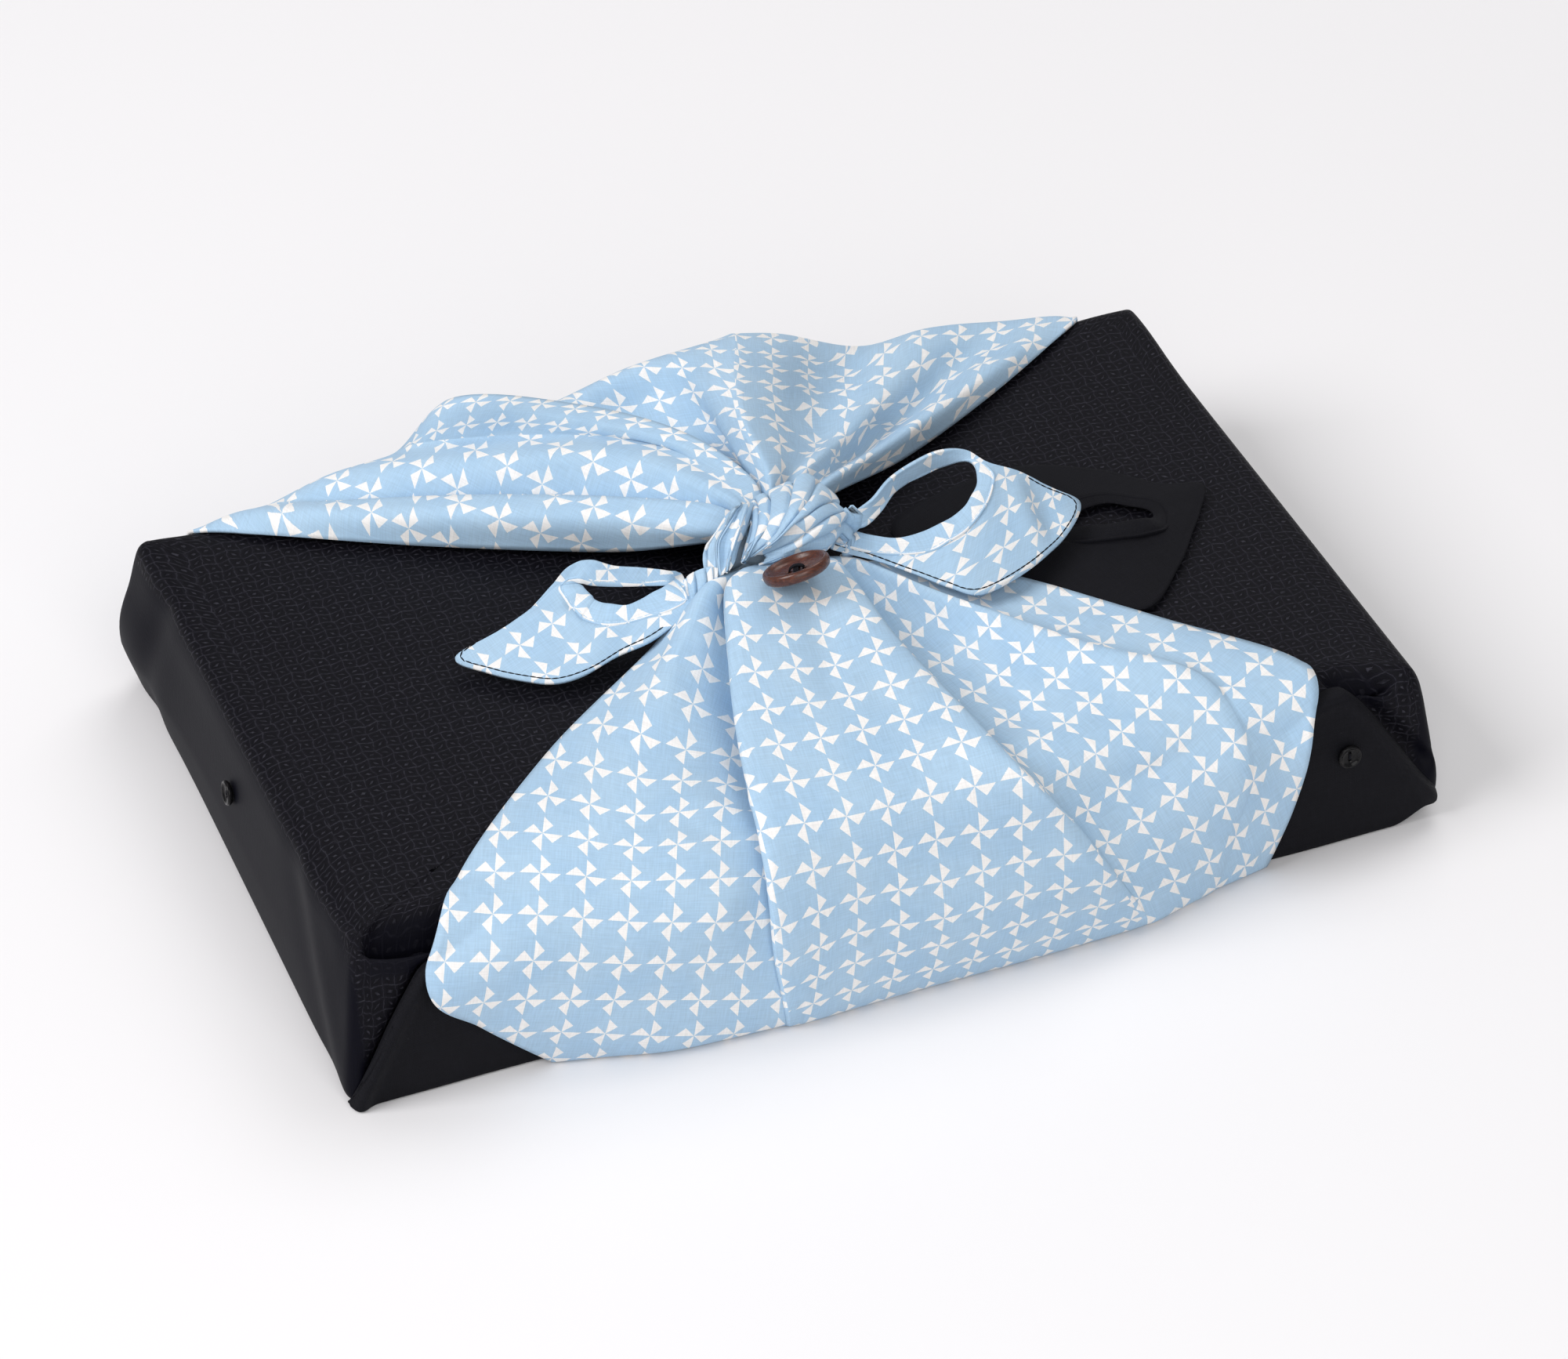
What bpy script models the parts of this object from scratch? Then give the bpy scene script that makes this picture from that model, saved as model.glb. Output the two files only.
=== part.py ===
"""A carrying wrap, tied round a flat box-shaped bundle.

Black cloth goes round the bundle. A printed panel comes up the front and another up the
back, each over a plain black flap. Their tails are tied in one knot on the top, and each tail
ends in a tab with a bound hand hole. The body cloth's own tab lies flat beside the knot.

Metres, +Z up, X along the bundle, -Y to the front. The origin is the middle of the base.
Tables are in millimetres.
"""
import math

import bmesh
import bpy
import numpy as np

MM = 0.001

# Driving sizes of the bundle
LENGTH = 450 * MM
WIDTH = 282.4 * MM
HEIGHT = 70.8 * MM

# Cloth and trim
SHEET = 1.4 * MM            # a printed panel or tab, with its turned hems
FLAP = 1.2 * MM             # the plain black flaps
GAP = 0.3 * MM              # between pieces that touch
FLAP_CLEAR = 0.8 * MM       # a flap stands a little off the wall behind it
BINDING_THICK = 2.6 * MM
COAT_BUTTON = 29.4 * MM
COAT_BUTTON_THICK = 5.0 * MM
SMALL_BUTTON = 10.0 * MM
SMALL_BUTTON_THICK = 2.4 * MM

# The bundle's section: how far each ring lies inside the outline, and its height
BODY_RINGS = (
    # inset, height
    (7.0, 0.0),
    (3.0, 0.9),
    (0.9, 3.6),
    (0.6, 9.0),
    (1.2, 22.0),
    (2.6, 38.0),
    (4.2, 52.0),
    (5.4, 59.0),
    (6.3, 62.5),
    (7.3, 65.0),
    (8.6, 67.2),
    (10.8, 69.2),
    (14.5, 70.4),
    (22.0, 70.8),
)
TOP_RINGS = (0.80, 0.55, 0.28)      # the rest of the top, as shares of the last ring
BODY_CORNER = 0.62                  # below 1 squares the corners seen from above
BODY_LONG_STEPS, BODY_SHORT_STEPS, BODY_CORNER_STEPS = 22, 12, 4
BODY_EDGE = 14.0                    # mm, how far in the corners of the plan are rounded

# Envelope folds: a pinch under the top edge beside each panel
PINCHES = (
    # side (-1 front, 1 back), middle x, half length, height, depth
    (-1, -205, 17, 65.5, 5.5),
    (-1, 199, 15, 65.5, 5.0),
    (1, 207, 14, 65.5, 4.0),
    (1, -209, 12, 65.5, 4.0),
)
PINCH_HALF_HEIGHT = 2.6
END_BULGE = {"y": 128, "half": 42, "out": 6.5, "height": 34, "half_height": 24}
BASE_DRAW_IN = 3.0                  # mm, at the back of the left end

# Black flaps: the top line of each, from its left end to its right end
FLAP_TOP = (
    # x, height
    (-222.5, 2.0),
    (-207, 35.0),
    (-190, 63.0),
    (0, 63.0),
    (186, 64.0),
    (206, 42.0),
    (227.5, 10.0),
)
FLAP_HEM = 0.9                      # mm, height of the flap's lower edge

# Printed panels, a fan of ribs from the knot to the hem. Points are (x, y, z).
RIB_COLUMNS = ("root", "upper", "middle", "edge", "face", "low", "hem")
FRONT_RIBS = (
    ("left edge", (-30, -5, 89), (-57, -18, 77.5), (-113, -57, 73.5), (-176, -117, 74),
     (-191, -141, 60), (-176, -144, 28), (-142, -146, 2)),
    ("left quarter", (-30, -8, 93), (-54, -26, 79), (-106, -74, 75), (-151, -118, 75),
     (-165, -146, 62), (-158, -150, 34), (-127, -151, 2)),
    ("left half", (-29, -10, 94), (-50, -32, 80), (-91, -84, 75.5), (-117, -121, 75.5),
     (-129, -149, 61), (-129, -156, 33), (-105, -157, 2)),
    ("valley", (-26, -12, 94), (-45, -35, 79), (-62, -81, 75.5), (-70, -123, 75.5),
     (-75, -151, 64), (-77, -159, 33), (-72, -160, 2)),
    ("left ridge", (-21, -14, 98), (-40, -60, 95), (-51, -100, 90), (-59, -139, 80),
     (-60, -154, 62), (-60, -161, 39), (-55, -161, 2)),
    ("middle one", (-11, -15, 100), (-19, -71, 97), (-23, -113, 91), (-24, -142, 81),
     (-22, -156, 60), (-19, -164, 35), (-11, -161, 2)),
    ("middle two", (2, -16, 101), (4, -75, 97), (8, -115, 90), (14, -142, 80),
     (24, -156, 55), (32, -165, 33), (46, -161, 2)),
    ("right ridge", (19, -17, 98), (28, -68, 92), (38, -112, 86), (48, -142, 77),
     (65, -155, 52), (78, -163, 28), (91, -159, 2)),
    ("ridge foot", (25, -12, 91), (38, -53, 80), (49, -98, 75.5), (57, -132, 74.5),
     (72, -150, 49), (83, -160, 26), (97, -158, 2)),
    ("right quarter", (30, -12, 88), (51, -43, 77), (74, -90, 75), (92, -124, 74.5),
     (95, -147, 51), (101, -156, 28), (107, -156, 2)),
    ("soft ridge", (32, -10, 89), (64, -37, 83), (103, -84, 80), (135, -120, 77.5),
     (138, -146, 60), (130, -151, 28), (122, -152, 2)),
    ("right half", (35, -8, 87), (76, -25, 78), (119, -72, 75), (154, -124, 75),
     (155, -143, 57), (148, -148, 25), (134, -149, 2)),
    ("right edge", (37, -6, 85), (82, -18, 77), (136, -71, 73.5), (177, -124, 73.5),
     (170, -141, 60), (161, -145, 27), (144, -146, 2)),
)
BACK_RIBS = (
    ("lower edge", (-16, 25, 89), (-43, 46, 78), (-109, 83, 74), (-195, 130, 73.5),
     (-196, 141, 60), (-185, 145, 30), (-150, 146, 2)),
    ("lower roll", (-18, 25, 97), (-42, 47, 93), (-101, 83, 88), (-174, 132, 76),
     (-178, 147, 60), (-165, 152, 30), (-135, 150, 2)),
    ("lower crease", (-9, 30, 97), (-35, 64, 90), (-90, 98, 84), (-160, 136, 75),
     (-163, 148, 60), (-150, 154, 30), (-122, 151, 2)),
    ("left roll", (-5, 30, 103), (-32, 72, 101), (-76, 98, 96), (-136, 138, 79),
     (-138, 152, 62), (-128, 159, 32), (-105, 156, 2)),
    ("soft valley", (0, 32, 104), (-16, 79, 101), (-55, 111, 96), (-101, 138, 85),
     (-108, 154, 62), (-104, 160, 32), (-88, 157, 2)),
    ("lapped edge", (7, 34, 106), (-5, 73, 105), (-37, 111, 103), (-83, 138, 101),
     (-84, 158, 68), (-82, 164, 34), (-70, 160, 2)),
    ("lap foot", (12, 42, 100), (8, 88, 92), (-16, 125, 88), (-48, 138, 92),
     (-56, 157, 64), (-58, 163, 33), (-52, 160, 2)),
    ("middle", (13, 41, 102), (14, 86, 96), (8, 124, 94), (-4, 138, 97),
     (-10, 160, 66), (-18, 166, 34), (-24, 161, 2)),
    ("tall ridge", (13, 34, 108), (15, 64, 112), (24, 97, 111), (39, 138, 101),
     (34, 162, 70), (22, 168, 36), (10, 162, 2)),
    ("ridge slope", (18, 36, 106), (28, 68, 106), (42, 101, 104), (58, 138, 96),
     (56, 160, 66), (46, 165, 34), (30, 160, 2)),
    ("valley", (25, 39, 102), (50, 71, 94), (67, 101, 89), (98, 138, 80),
     (92, 154, 60), (78, 160, 32), (55, 157, 2)),
    ("right ridge", (30, 38, 101), (63, 69, 94), (89, 96, 90), (124, 138, 82),
     (118, 154, 60), (100, 160, 32), (76, 156, 2)),
    ("right valley", (36, 38, 96), (71, 68, 86), (114, 101, 80), (163, 137, 76),
     (158, 149, 60), (138, 155, 31), (108, 152, 2)),
    ("right roll", (38, 34, 96), (73, 56, 90), (118, 86, 85), (182, 134, 75),
     (178, 147, 60), (160, 152, 30), (128, 149, 2)),
    ("right edge", (42, 36, 89), (82, 62, 77), (131, 91, 74), (190, 129, 73.5),
     (189, 141, 60), (176, 145, 30), (145, 146, 2)),
)
PANEL_TUCK = {"y": 144.9, "z": 1.6}     # mm, where a panel's hem turns in under the bundle
PANEL_CLEAR = 1.0 * MM + SHEET / 2      # middle of a panel above the black cloth
EDGE_TURN = {"in": 18.5, "down": 13.3, "radius": 17.8}  # mm, its turn over the long edges
RIB_STEPS, ALONG_STEPS = 2, 3

# The knot: its core, and the folds of cloth that cross it. Points are (x, y, z).
KNOT_CORES = (
    # centre, radii
    ((2, 9, 101), (26, 20, 13)),
    ((6, 18, 99), (21, 14, 10)),
    ((2, 8, 85), (15, 10, 13)),
)
KNOT_FOLDS = (
    # from, over, to, radius
    ("cap 1", (-14, -3, 102), (-3, 12, 116), (10, 23, 110), 3.6),
    ("cap 2", (-13, -5, 103), (1, 8, 118), (17, 22, 110), 3.6),
    ("cap 3", (-12, -7, 103), (5, 3, 118), (24, 19, 109), 3.6),
    ("cap 4", (-11, -8, 103), (8, -2, 117), (28, 13, 107), 3.6),
    ("cap 5", (-10, -9, 102), (9, -7, 114), (29, 5, 104), 3.6),
    ("cap 6", (-9, -10, 101), (8, -10, 109), (27, -3, 100), 3.4),
    ("side 1", (-9, 16, 108), (-21, 3, 110), (-29, -5, 101), 4.0),
    ("side 2", (-6, 12, 112), (-17, -1, 111), (-27, -10, 101), 4.0),
    ("side 3", (-6, 6, 112), (-14, -6, 107), (-24, -12, 100), 3.4),
)
KNOT_VOXEL = 2.2 * MM
KNOT_SHARE = 0.42           # of the skin's faces that are kept

# Tabs: rows round each hand hole, the hole's edge and the tab's outline. Points are (x, y, z).
RIGHT_TAB = (
    ("inner turn", (35, -3, 99), (29.5, -3, 98)),
    ("root top", (39, 0, 101), (36, 8, 99)),
    ("strip one", (49, 6, 103), (49, 16, 101)),
    ("strip two", (63, 13, 106), (66, 25, 104)),
    ("crest", (79, 14, 107), (90, 23, 106)),
    ("crest end", (88, 11, 106), (99, 12, 104)),
    ("outer top", (90, 5, 103), (111, 4, 99)),
    ("point", (86, -3, 99), (130, -6, 86)),
    ("end edge", (77, -8, 95), (107, -27, 84)),
    ("corner", (65, -7, 92), (73, -40, 84)),
    ("lower edge", (51, -4, 93), (53, -24, 87)),
    ("root low", (41, -4, 95), (33, -11, 93)),
)
LEFT_TAB = (
    ("inner turn", (-37, -4, 94), (-31, -3, 92.5)),
    ("root top", (-39, 0, 95), (-33, 8, 94)),
    ("strip one", (-46, 1, 96), (-43, 12, 96)),
    ("strip two", (-61, 5, 97), (-58, 15, 98)),
    ("crest", (-71, 10, 97), (-72, 20, 99)),
    ("outer top", (-76, 9, 95), (-84, 15, 95)),
    ("outer side", (-77, 5, 92), (-102, 9, 87)),
    ("point", (-71, 1, 89), (-128, 3, 79)),
    ("end edge", (-61, -2, 88), (-100, -23, 77)),
    ("corner", (-50, -4, 88), (-69, -25, 79)),
    ("lower edge", (-43, -5, 91), (-54, -22, 87)),
    ("root low", (-39, -5, 93), (-36, -15, 93)),
)
BODY_TAB = (
    ("neck back", (126, -8, 73), (62, 30, 73)),
    ("back edge", (134, -3, 73.6), (124, 40, 73)),
    ("back half", (146, -1, 74), (155, 24, 73)),
    ("back corner", (157, -8, 73.6), (185, -1, 73)),
    ("end", (159, -15, 73), (176, -20, 73)),
    ("end low", (153, -20, 73), (163, -37, 73)),
    ("front corner", (142, -18, 73.6), (138, -62, 73)),
    ("front edge", (132, -15, 73.6), (103, -33, 73)),
    ("neck front", (126, -12, 73), (66, 0, 73)),
)
BINDING_SHARE = 0.46        # of the width of the strip, within these limits
BINDING_LIMITS = (4.5 * MM, 8.0 * MM)
TAB_STEPS, TAB_ACROSS = 4, 2

# Buttons: centre, and the way that the face looks
COAT_BUTTON_AT = (0, -30, 109)
COAT_BUTTON_FACES = (-0.16, 0.33, 0.93)
COAT_BUTTON_HOLES = {"count": 4, "ring": 3.2, "radius": 1.15}
SMALL_BUTTONS = (
    ("end_button", (-223.6, 5, 42), (-1, 0, 0.09)),
    ("flap_button", (185, -141.9, 42), (0, -1, 0.09)),
)
SMALL_BUTTON_HOLES = {"count": 2, "ring": 1.3, "radius": 0.7}

# Finishes: colour, roughness
BLACK_CLOTH = ("black_cloth", (0.012, 0.013, 0.018), 0.9)
PRINTED_CLOTH = ("printed_cloth", (0.33, 0.52, 0.75), 0.85)
WOOD = ("coat_button_wood", (0.14, 0.035, 0.018), 0.4)
BLACK_BUTTON = ("black_button", (0.01, 0.01, 0.011), 0.25)
THREAD = ("black_thread", (0.01, 0.01, 0.011), 0.8)


def clear_scene():
    for obj in list(bpy.data.objects):
        bpy.data.objects.remove(obj, do_unlink=True)


def material(finish):
    name, colour, roughness = finish
    made = bpy.data.materials.get(name)
    if made is None:
        made = bpy.data.materials.new(name)
        made.use_nodes = True
        shader = made.node_tree.nodes["Principled BSDF"]
        shader.inputs["Base Color"].default_value = (*colour, 1)
        shader.inputs["Roughness"].default_value = roughness
    return made


def add_object(name, points, faces, finish, smooth=True):
    mesh = bpy.data.meshes.new(name)
    mesh.from_pydata([tuple(float(c) for c in p) for p in points], [], faces)
    mesh.materials.append(material(finish))
    obj = bpy.data.objects.new(name, mesh)
    bpy.context.collection.objects.link(obj)
    if smooth:
        mesh.shade_smooth()
    return obj


def smooth_line(points, steps):
    """A curve through the points, with this many steps to each span."""
    p = np.asarray(points, float)
    ends = np.concatenate([2 * p[:1] - p[1:2], p, 2 * p[-1:] - p[-2:-1]])
    line = []
    for i in range(len(p) - 1):
        line += span(ends[i:i + 4], steps)
    return np.array(line + [p[-1]])


def smooth_loop(points, steps):
    """A closed curve through the points, without its first point repeated."""
    p = np.asarray(points, float)
    loop = []
    for i in range(len(p)):
        loop += span([p[(i + k) % len(p)] for k in (-1, 0, 1, 2)], steps)
    return np.array(loop)


def span(four, steps):
    a, b, c, d = four
    return [0.5 * (2 * b + (c - a) * t + (2 * a - 5 * b + 4 * c - d) * t ** 2
                   + (3 * b - a - 3 * c + d) * t ** 3)
            for t in np.arange(steps) / steps]


def grid_faces(rows, columns, closed=False):
    """Quads over a grid of rows by columns. A closed grid joins its last row to its first."""
    faces = []
    for i in range(rows if closed else rows - 1):
        k = (i + 1) % rows
        for j in range(columns - 1):
            faces.append((i * columns + j, k * columns + j,
                          k * columns + j + 1, i * columns + j + 1))
    return faces


def thicken(obj, thickness):
    solid = obj.modifiers.new("Thickness", "SOLIDIFY")
    solid.thickness = thickness
    solid.offset = 0
    return obj


def body_inset(z):
    """How far inside the base's outline the bundle's wall is at a height, all in metres."""
    table = BODY_RINGS[3:]
    return float(np.interp(z / MM, [h for _, h in table], [i for i, _ in table])) * MM


def body_outline():
    """The plan's outline: the inner corner of each point, and the way out from it."""
    half = (LENGTH / 2 - BODY_EDGE * MM, WIDTH / 2 - BODY_EDGE * MM)
    corners = ((1, 1), (-1, 1), (-1, -1), (1, -1))
    inner, outward = [], []
    for number, (sx, sy) in enumerate(corners):
        for step in range(BODY_CORNER_STEPS + 1):
            turn = math.radians(90 * (number + step / BODY_CORNER_STEPS))
            c, s = math.cos(turn), math.sin(turn)
            inner.append((sx * half[0], sy * half[1]))
            outward.append((math.copysign(abs(c) ** BODY_CORNER, c),
                            math.copysign(abs(s) ** BODY_CORNER, s)))
        steps = (BODY_LONG_STEPS, BODY_SHORT_STEPS)[number % 2]
        nx, ny = corners[(number + 1) % 4]
        for step in range(1, steps):
            share = step / steps
            inner.append(((sx + (nx - sx) * share) * half[0], (sy + (ny - sy) * share) * half[1]))
            outward.append(outward[-1])
    return np.array(inner), np.array(outward)


def body_forms(x, y, z):
    """The bundle's soft forms: envelope pinches, the bulging left end and its drawn-in base."""
    dx = dy = 0.0
    for side, middle, half, height, depth in PINCHES:
        if y * side > 0 and abs(y) > WIDTH / 2 / MM - BODY_EDGE:
            reach = math.exp(-((x - middle) / half) ** 4)
            dy -= side * depth * reach * math.exp(-((z - height) / PINCH_HALF_HEIGHT) ** 2)
    if x < -LENGTH / 2 / MM + BODY_EDGE:
        bulge = END_BULGE
        dx -= (bulge["out"] * math.exp(-((y - bulge["y"]) / bulge["half"]) ** 2)
               * math.exp(-((z - bulge["height"]) / bulge["half_height"]) ** 2))
        dx += BASE_DRAW_IN * np.interp(y, (-120, 100), (0, 1)) * np.interp(z, (0, 25), (1, 0))
    return dx, dy


def body_ring(inset):
    """The plan's outline drawn in by a distance in millimetres."""
    inner, outward = body_outline()
    offset = min(inset, BODY_EDGE - 2)
    flat = inner + outward * (BODY_EDGE - offset) * MM
    half = np.array((LENGTH, WIDTH)) / 2 / MM
    return flat * (half - inset) / (half - offset)


def body_cloth():
    points = []
    for inset, height in BODY_RINGS:
        for x, y in body_ring(inset):
            dx, dy = body_forms(x / MM, y / MM, height)
            points.append((x + dx * MM, y + dy * MM, height * MM))
    around = len(body_ring(0))
    last = points[-around:]
    for share in TOP_RINGS:
        points += [(x * share, y * share, HEIGHT) for x, y, _ in last]
    rings = len(BODY_RINGS) + len(TOP_RINGS)
    faces = []
    for i in range(rings - 1):
        for j in range(around):
            k = (j + 1) % around
            faces.append((i * around + j, i * around + k, (i + 1) * around + k, (i + 1) * around + j))
    faces.append(tuple(reversed(range(around))))
    faces.append(tuple(range((rings - 1) * around, rings * around)))
    return add_object("body_cloth", points, faces, BLACK_CLOTH)


def flap(name, side):
    """A plain flap up the front (side -1) or, turned half round, up the back (side 1)."""
    line = smooth_line(FLAP_TOP, 3)
    rows = []
    for x, top in line:
        for share in np.linspace(0, 1, 6):
            z = (FLAP_HEM + (top - FLAP_HEM) * share) * MM
            y = WIDTH / 2 - body_inset(z) + FLAP_CLEAR + FLAP / 2
            rows.append((-side * x * MM, side * y, z))
    return thicken(add_object(name, rows, grid_faces(len(line), 6), BLACK_CLOTH), FLAP)


def keep_clear(point, side):
    """Moves a panel's point out until it clears the bundle and its flap."""
    x, y, z = point
    out = side * y
    centre_out = WIDTH / 2 - EDGE_TURN["in"] * MM
    centre_z = HEIGHT - EDGE_TURN["down"] * MM
    if out > centre_out and z > centre_z:
        short = EDGE_TURN["radius"] * MM / math.hypot(out - centre_out, z - centre_z)
        if short > 1:
            out = centre_out + (out - centre_out) * short
            z = centre_z + (z - centre_z) * short
    elif z > centre_z:
        z = max(z, HEIGHT + PANEL_CLEAR)
    else:
        out = max(out, WIDTH / 2 - body_inset(z) + FLAP_CLEAR + FLAP + PANEL_CLEAR)
    return x, side * out, z


def panel(name, ribs, side):
    rows = []
    for _, *points in ribs:
        hem = points[-1]
        tuck = (hem[0], side * PANEL_TUCK["y"], PANEL_TUCK["z"])
        rows.append(smooth_line(list(points) + [tuck], ALONG_STEPS))
    grid = smooth_line(rows, RIB_STEPS) * MM
    across, along = grid.shape[:2]
    points = []
    for number, point in enumerate(grid.reshape(-1, 3)):
        last = number % along == along - 1
        points.append(point if last else keep_clear(point, side))
    low = SHEET / 2 + 0.0001
    points = [(x, y, max(z, low)) for x, y, z in points]
    return thicken(add_object(name, points, grid_faces(across, along), PRINTED_CLOTH), SHEET)


def tube_mesh(bm, line, radius, sides=8):
    """Adds a closed tube along a line to the mesh."""
    rings = []
    up = np.array((0.0, 0.0, 1.0))
    for i, centre in enumerate(line):
        along = line[min(i + 1, len(line) - 1)] - line[max(i - 1, 0)]
        along /= np.linalg.norm(along)
        side = np.cross(along, up)
        side /= np.linalg.norm(side)
        top = np.cross(side, along)
        taper = math.sin(math.pi * (0.18 + 0.64 * i / (len(line) - 1)))
        ring = []
        for k in range(sides):
            turn = 2 * math.pi * k / sides
            ring.append(bm.verts.new(centre + radius * taper
                                     * (side * math.cos(turn) + top * math.sin(turn))))
        rings.append(ring)
    for a, b in zip(rings, rings[1:]):
        for k in range(sides):
            bm.faces.new((a[k], a[(k + 1) % sides], b[(k + 1) % sides], b[k]))
    bm.faces.new(reversed(rings[0]))
    bm.faces.new(rings[-1])


def knot():
    bm = bmesh.new()
    for centre, radii in KNOT_CORES:
        made = bmesh.ops.create_icosphere(bm, subdivisions=3, radius=MM)
        for vert in made["verts"]:
            vert.co = [c * MM + v * r for c, v, r in zip(centre, vert.co, radii)]
    for _, start, over, end, radius in KNOT_FOLDS:
        tube_mesh(bm, smooth_line(np.array((start, over, end)) * MM, 5), radius * MM)
    bmesh.ops.recalc_face_normals(bm, faces=bm.faces)
    mesh = bpy.data.meshes.new("knot")
    bm.to_mesh(mesh)
    bm.free()
    mesh.materials.append(material(PRINTED_CLOTH))
    obj = bpy.data.objects.new("knot", mesh)
    bpy.context.collection.objects.link(obj)
    skin = obj.modifiers.new("Skin", "REMESH")
    skin.mode = "VOXEL"
    skin.voxel_size = KNOT_VOXEL
    fewer = obj.modifiers.new("Fewer faces", "DECIMATE")
    fewer.ratio = KNOT_SHARE
    return obj


def tab_curves(rows):
    """The hole's edge and the outline of a tab, and the width of the binding at each point."""
    hole = smooth_loop([r[1] for r in rows], TAB_STEPS) * MM
    outline = smooth_loop([r[2] for r in rows], TAB_STEPS) * MM
    across = outline - hole
    width = np.linalg.norm(across, axis=1, keepdims=True)
    bound = np.clip(width * BINDING_SHARE, *BINDING_LIMITS)
    return hole, outline, across / width, bound


def tab(name, binding_name, rows, finish):
    """A tab's sheet, and the binding round its hand hole."""
    hole, outline, out, bound = tab_curves(rows)
    start = hole + out * (bound + GAP)
    shares = np.linspace(0, 1, TAB_ACROSS + 1)
    sheet = [a + (b - a) * s for a, b in zip(start, outline) for s in shares]
    faces = grid_faces(len(hole), TAB_ACROSS + 1, closed=True)
    thicken(add_object(name, sheet, faces, finish), SHEET)
    points = []
    sides = 8
    for i in range(len(hole)):
        along = hole[(i + 1) % len(hole)] - hole[i - 1]
        up = np.cross(along, out[i])
        up /= np.linalg.norm(up)
        centre = hole[i] + out[i] * bound[i] / 2
        for k in range(sides):
            turn = 2 * math.pi * k / sides
            points.append(centre + out[i] * math.cos(turn) * bound[i] / 2
                          + up * math.sin(turn) * BINDING_THICK / 2)
    faces = []
    for i in range(len(hole)):
        for k in range(sides):
            a, b = i * sides, (i + 1) % len(hole) * sides
            faces.append((a + k, a + (k + 1) % sides, b + (k + 1) % sides, b + k))
    obj = add_object(binding_name, points, faces, finish)
    bm = bmesh.new()
    bm.from_mesh(obj.data)
    bmesh.ops.recalc_face_normals(bm, faces=bm.faces)
    bm.to_mesh(obj.data)
    bm.free()


def face_frame(looks):
    """Two directions across a button and the way that its face looks."""
    face = np.array(looks, float)
    face /= np.linalg.norm(face)
    side = np.cross((0.0, 0.0, 1.0) if abs(face[2]) < 0.9 else (0.0, 1.0, 0.0), face)
    side /= np.linalg.norm(side)
    return side, np.cross(face, side), face


def button(name, at, looks, size, thick, holes, finish, sides=32):
    """A turned button with a raised rim, and its holes cut through."""
    profile = (
        # radius, height, as shares of the radius and of the thickness
        (0.55, -0.5), (0.88, -0.42), (1.0, -0.1), (1.0, 0.2), (0.93, 0.46), (0.84, 0.5),
        (0.72, 0.3), (0.55, 0.12),
    )
    side, top, face = face_frame(looks)
    centre = np.array(at) * MM
    points = []
    for radius, height in profile:
        for k in range(sides):
            turn = 2 * math.pi * k / sides
            points.append(centre + face * height * thick
                          + (side * math.cos(turn) + top * math.sin(turn)) * radius * size / 2)
    faces = []
    for i in range(len(profile) - 1):
        for k in range(sides):
            n = (k + 1) % sides
            faces.append((i * sides + k, i * sides + n, (i + 1) * sides + n, (i + 1) * sides + k))
    faces.append(tuple(reversed(range(sides))))
    faces.append(tuple(range((len(profile) - 1) * sides, len(profile) * sides)))
    obj = add_object(name, points, faces, finish)
    for number in range(holes["count"]):
        turn = 2 * math.pi * (number + 0.5) / holes["count"]
        away = (side * math.cos(turn) + top * math.sin(turn)) * holes["ring"] * MM
        cut_hole(obj, centre + away, (side, top, face), holes["radius"] * MM, thick)
    return obj


def cut_hole(obj, centre, frame, radius, thick, sides=8):
    side, top, face = frame
    points = []
    for end in (-1, 1):
        for k in range(sides):
            turn = 2 * math.pi * k / sides
            points.append(centre + face * end * thick
                          + (side * math.cos(turn) + top * math.sin(turn)) * radius)
    faces = [(k, (k + 1) % sides, sides + (k + 1) % sides, sides + k) for k in range(sides)]
    faces += [tuple(reversed(range(sides))), tuple(range(sides, 2 * sides))]
    cutter = add_object(obj.name + "_cutter", points, faces, THREAD, smooth=False)
    cutter.hide_render = True
    cutter.display_type = "WIRE"
    hole = obj.modifiers.new("Hole", "BOOLEAN")
    hole.operation = "DIFFERENCE"
    hole.object = cutter


def build():
    clear_scene()
    body_cloth()
    flap("front_flap", -1)
    flap("back_flap", 1)
    panel("front_panel", FRONT_RIBS, -1)
    panel("back_panel", BACK_RIBS, 1)
    knot()
    tab("right_tab", "right_tab_binding", RIGHT_TAB, PRINTED_CLOTH)
    tab("left_tab", "left_tab_binding", LEFT_TAB, PRINTED_CLOTH)
    tab("body_tab", "body_tab_binding", BODY_TAB, BLACK_CLOTH)
    button("coat_button", COAT_BUTTON_AT, COAT_BUTTON_FACES, COAT_BUTTON, COAT_BUTTON_THICK,
           COAT_BUTTON_HOLES, WOOD, sides=40)
    for name, at, looks in SMALL_BUTTONS:
        button(name, at, looks, SMALL_BUTTON, SMALL_BUTTON_THICK, SMALL_BUTTON_HOLES,
               BLACK_BUTTON, sides=20)


build()
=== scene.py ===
import math

import bmesh
import bpy
import numpy as np
from mathutils import Matrix, Vector, noise
from mathutils.bvhtree import BVHTree


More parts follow.
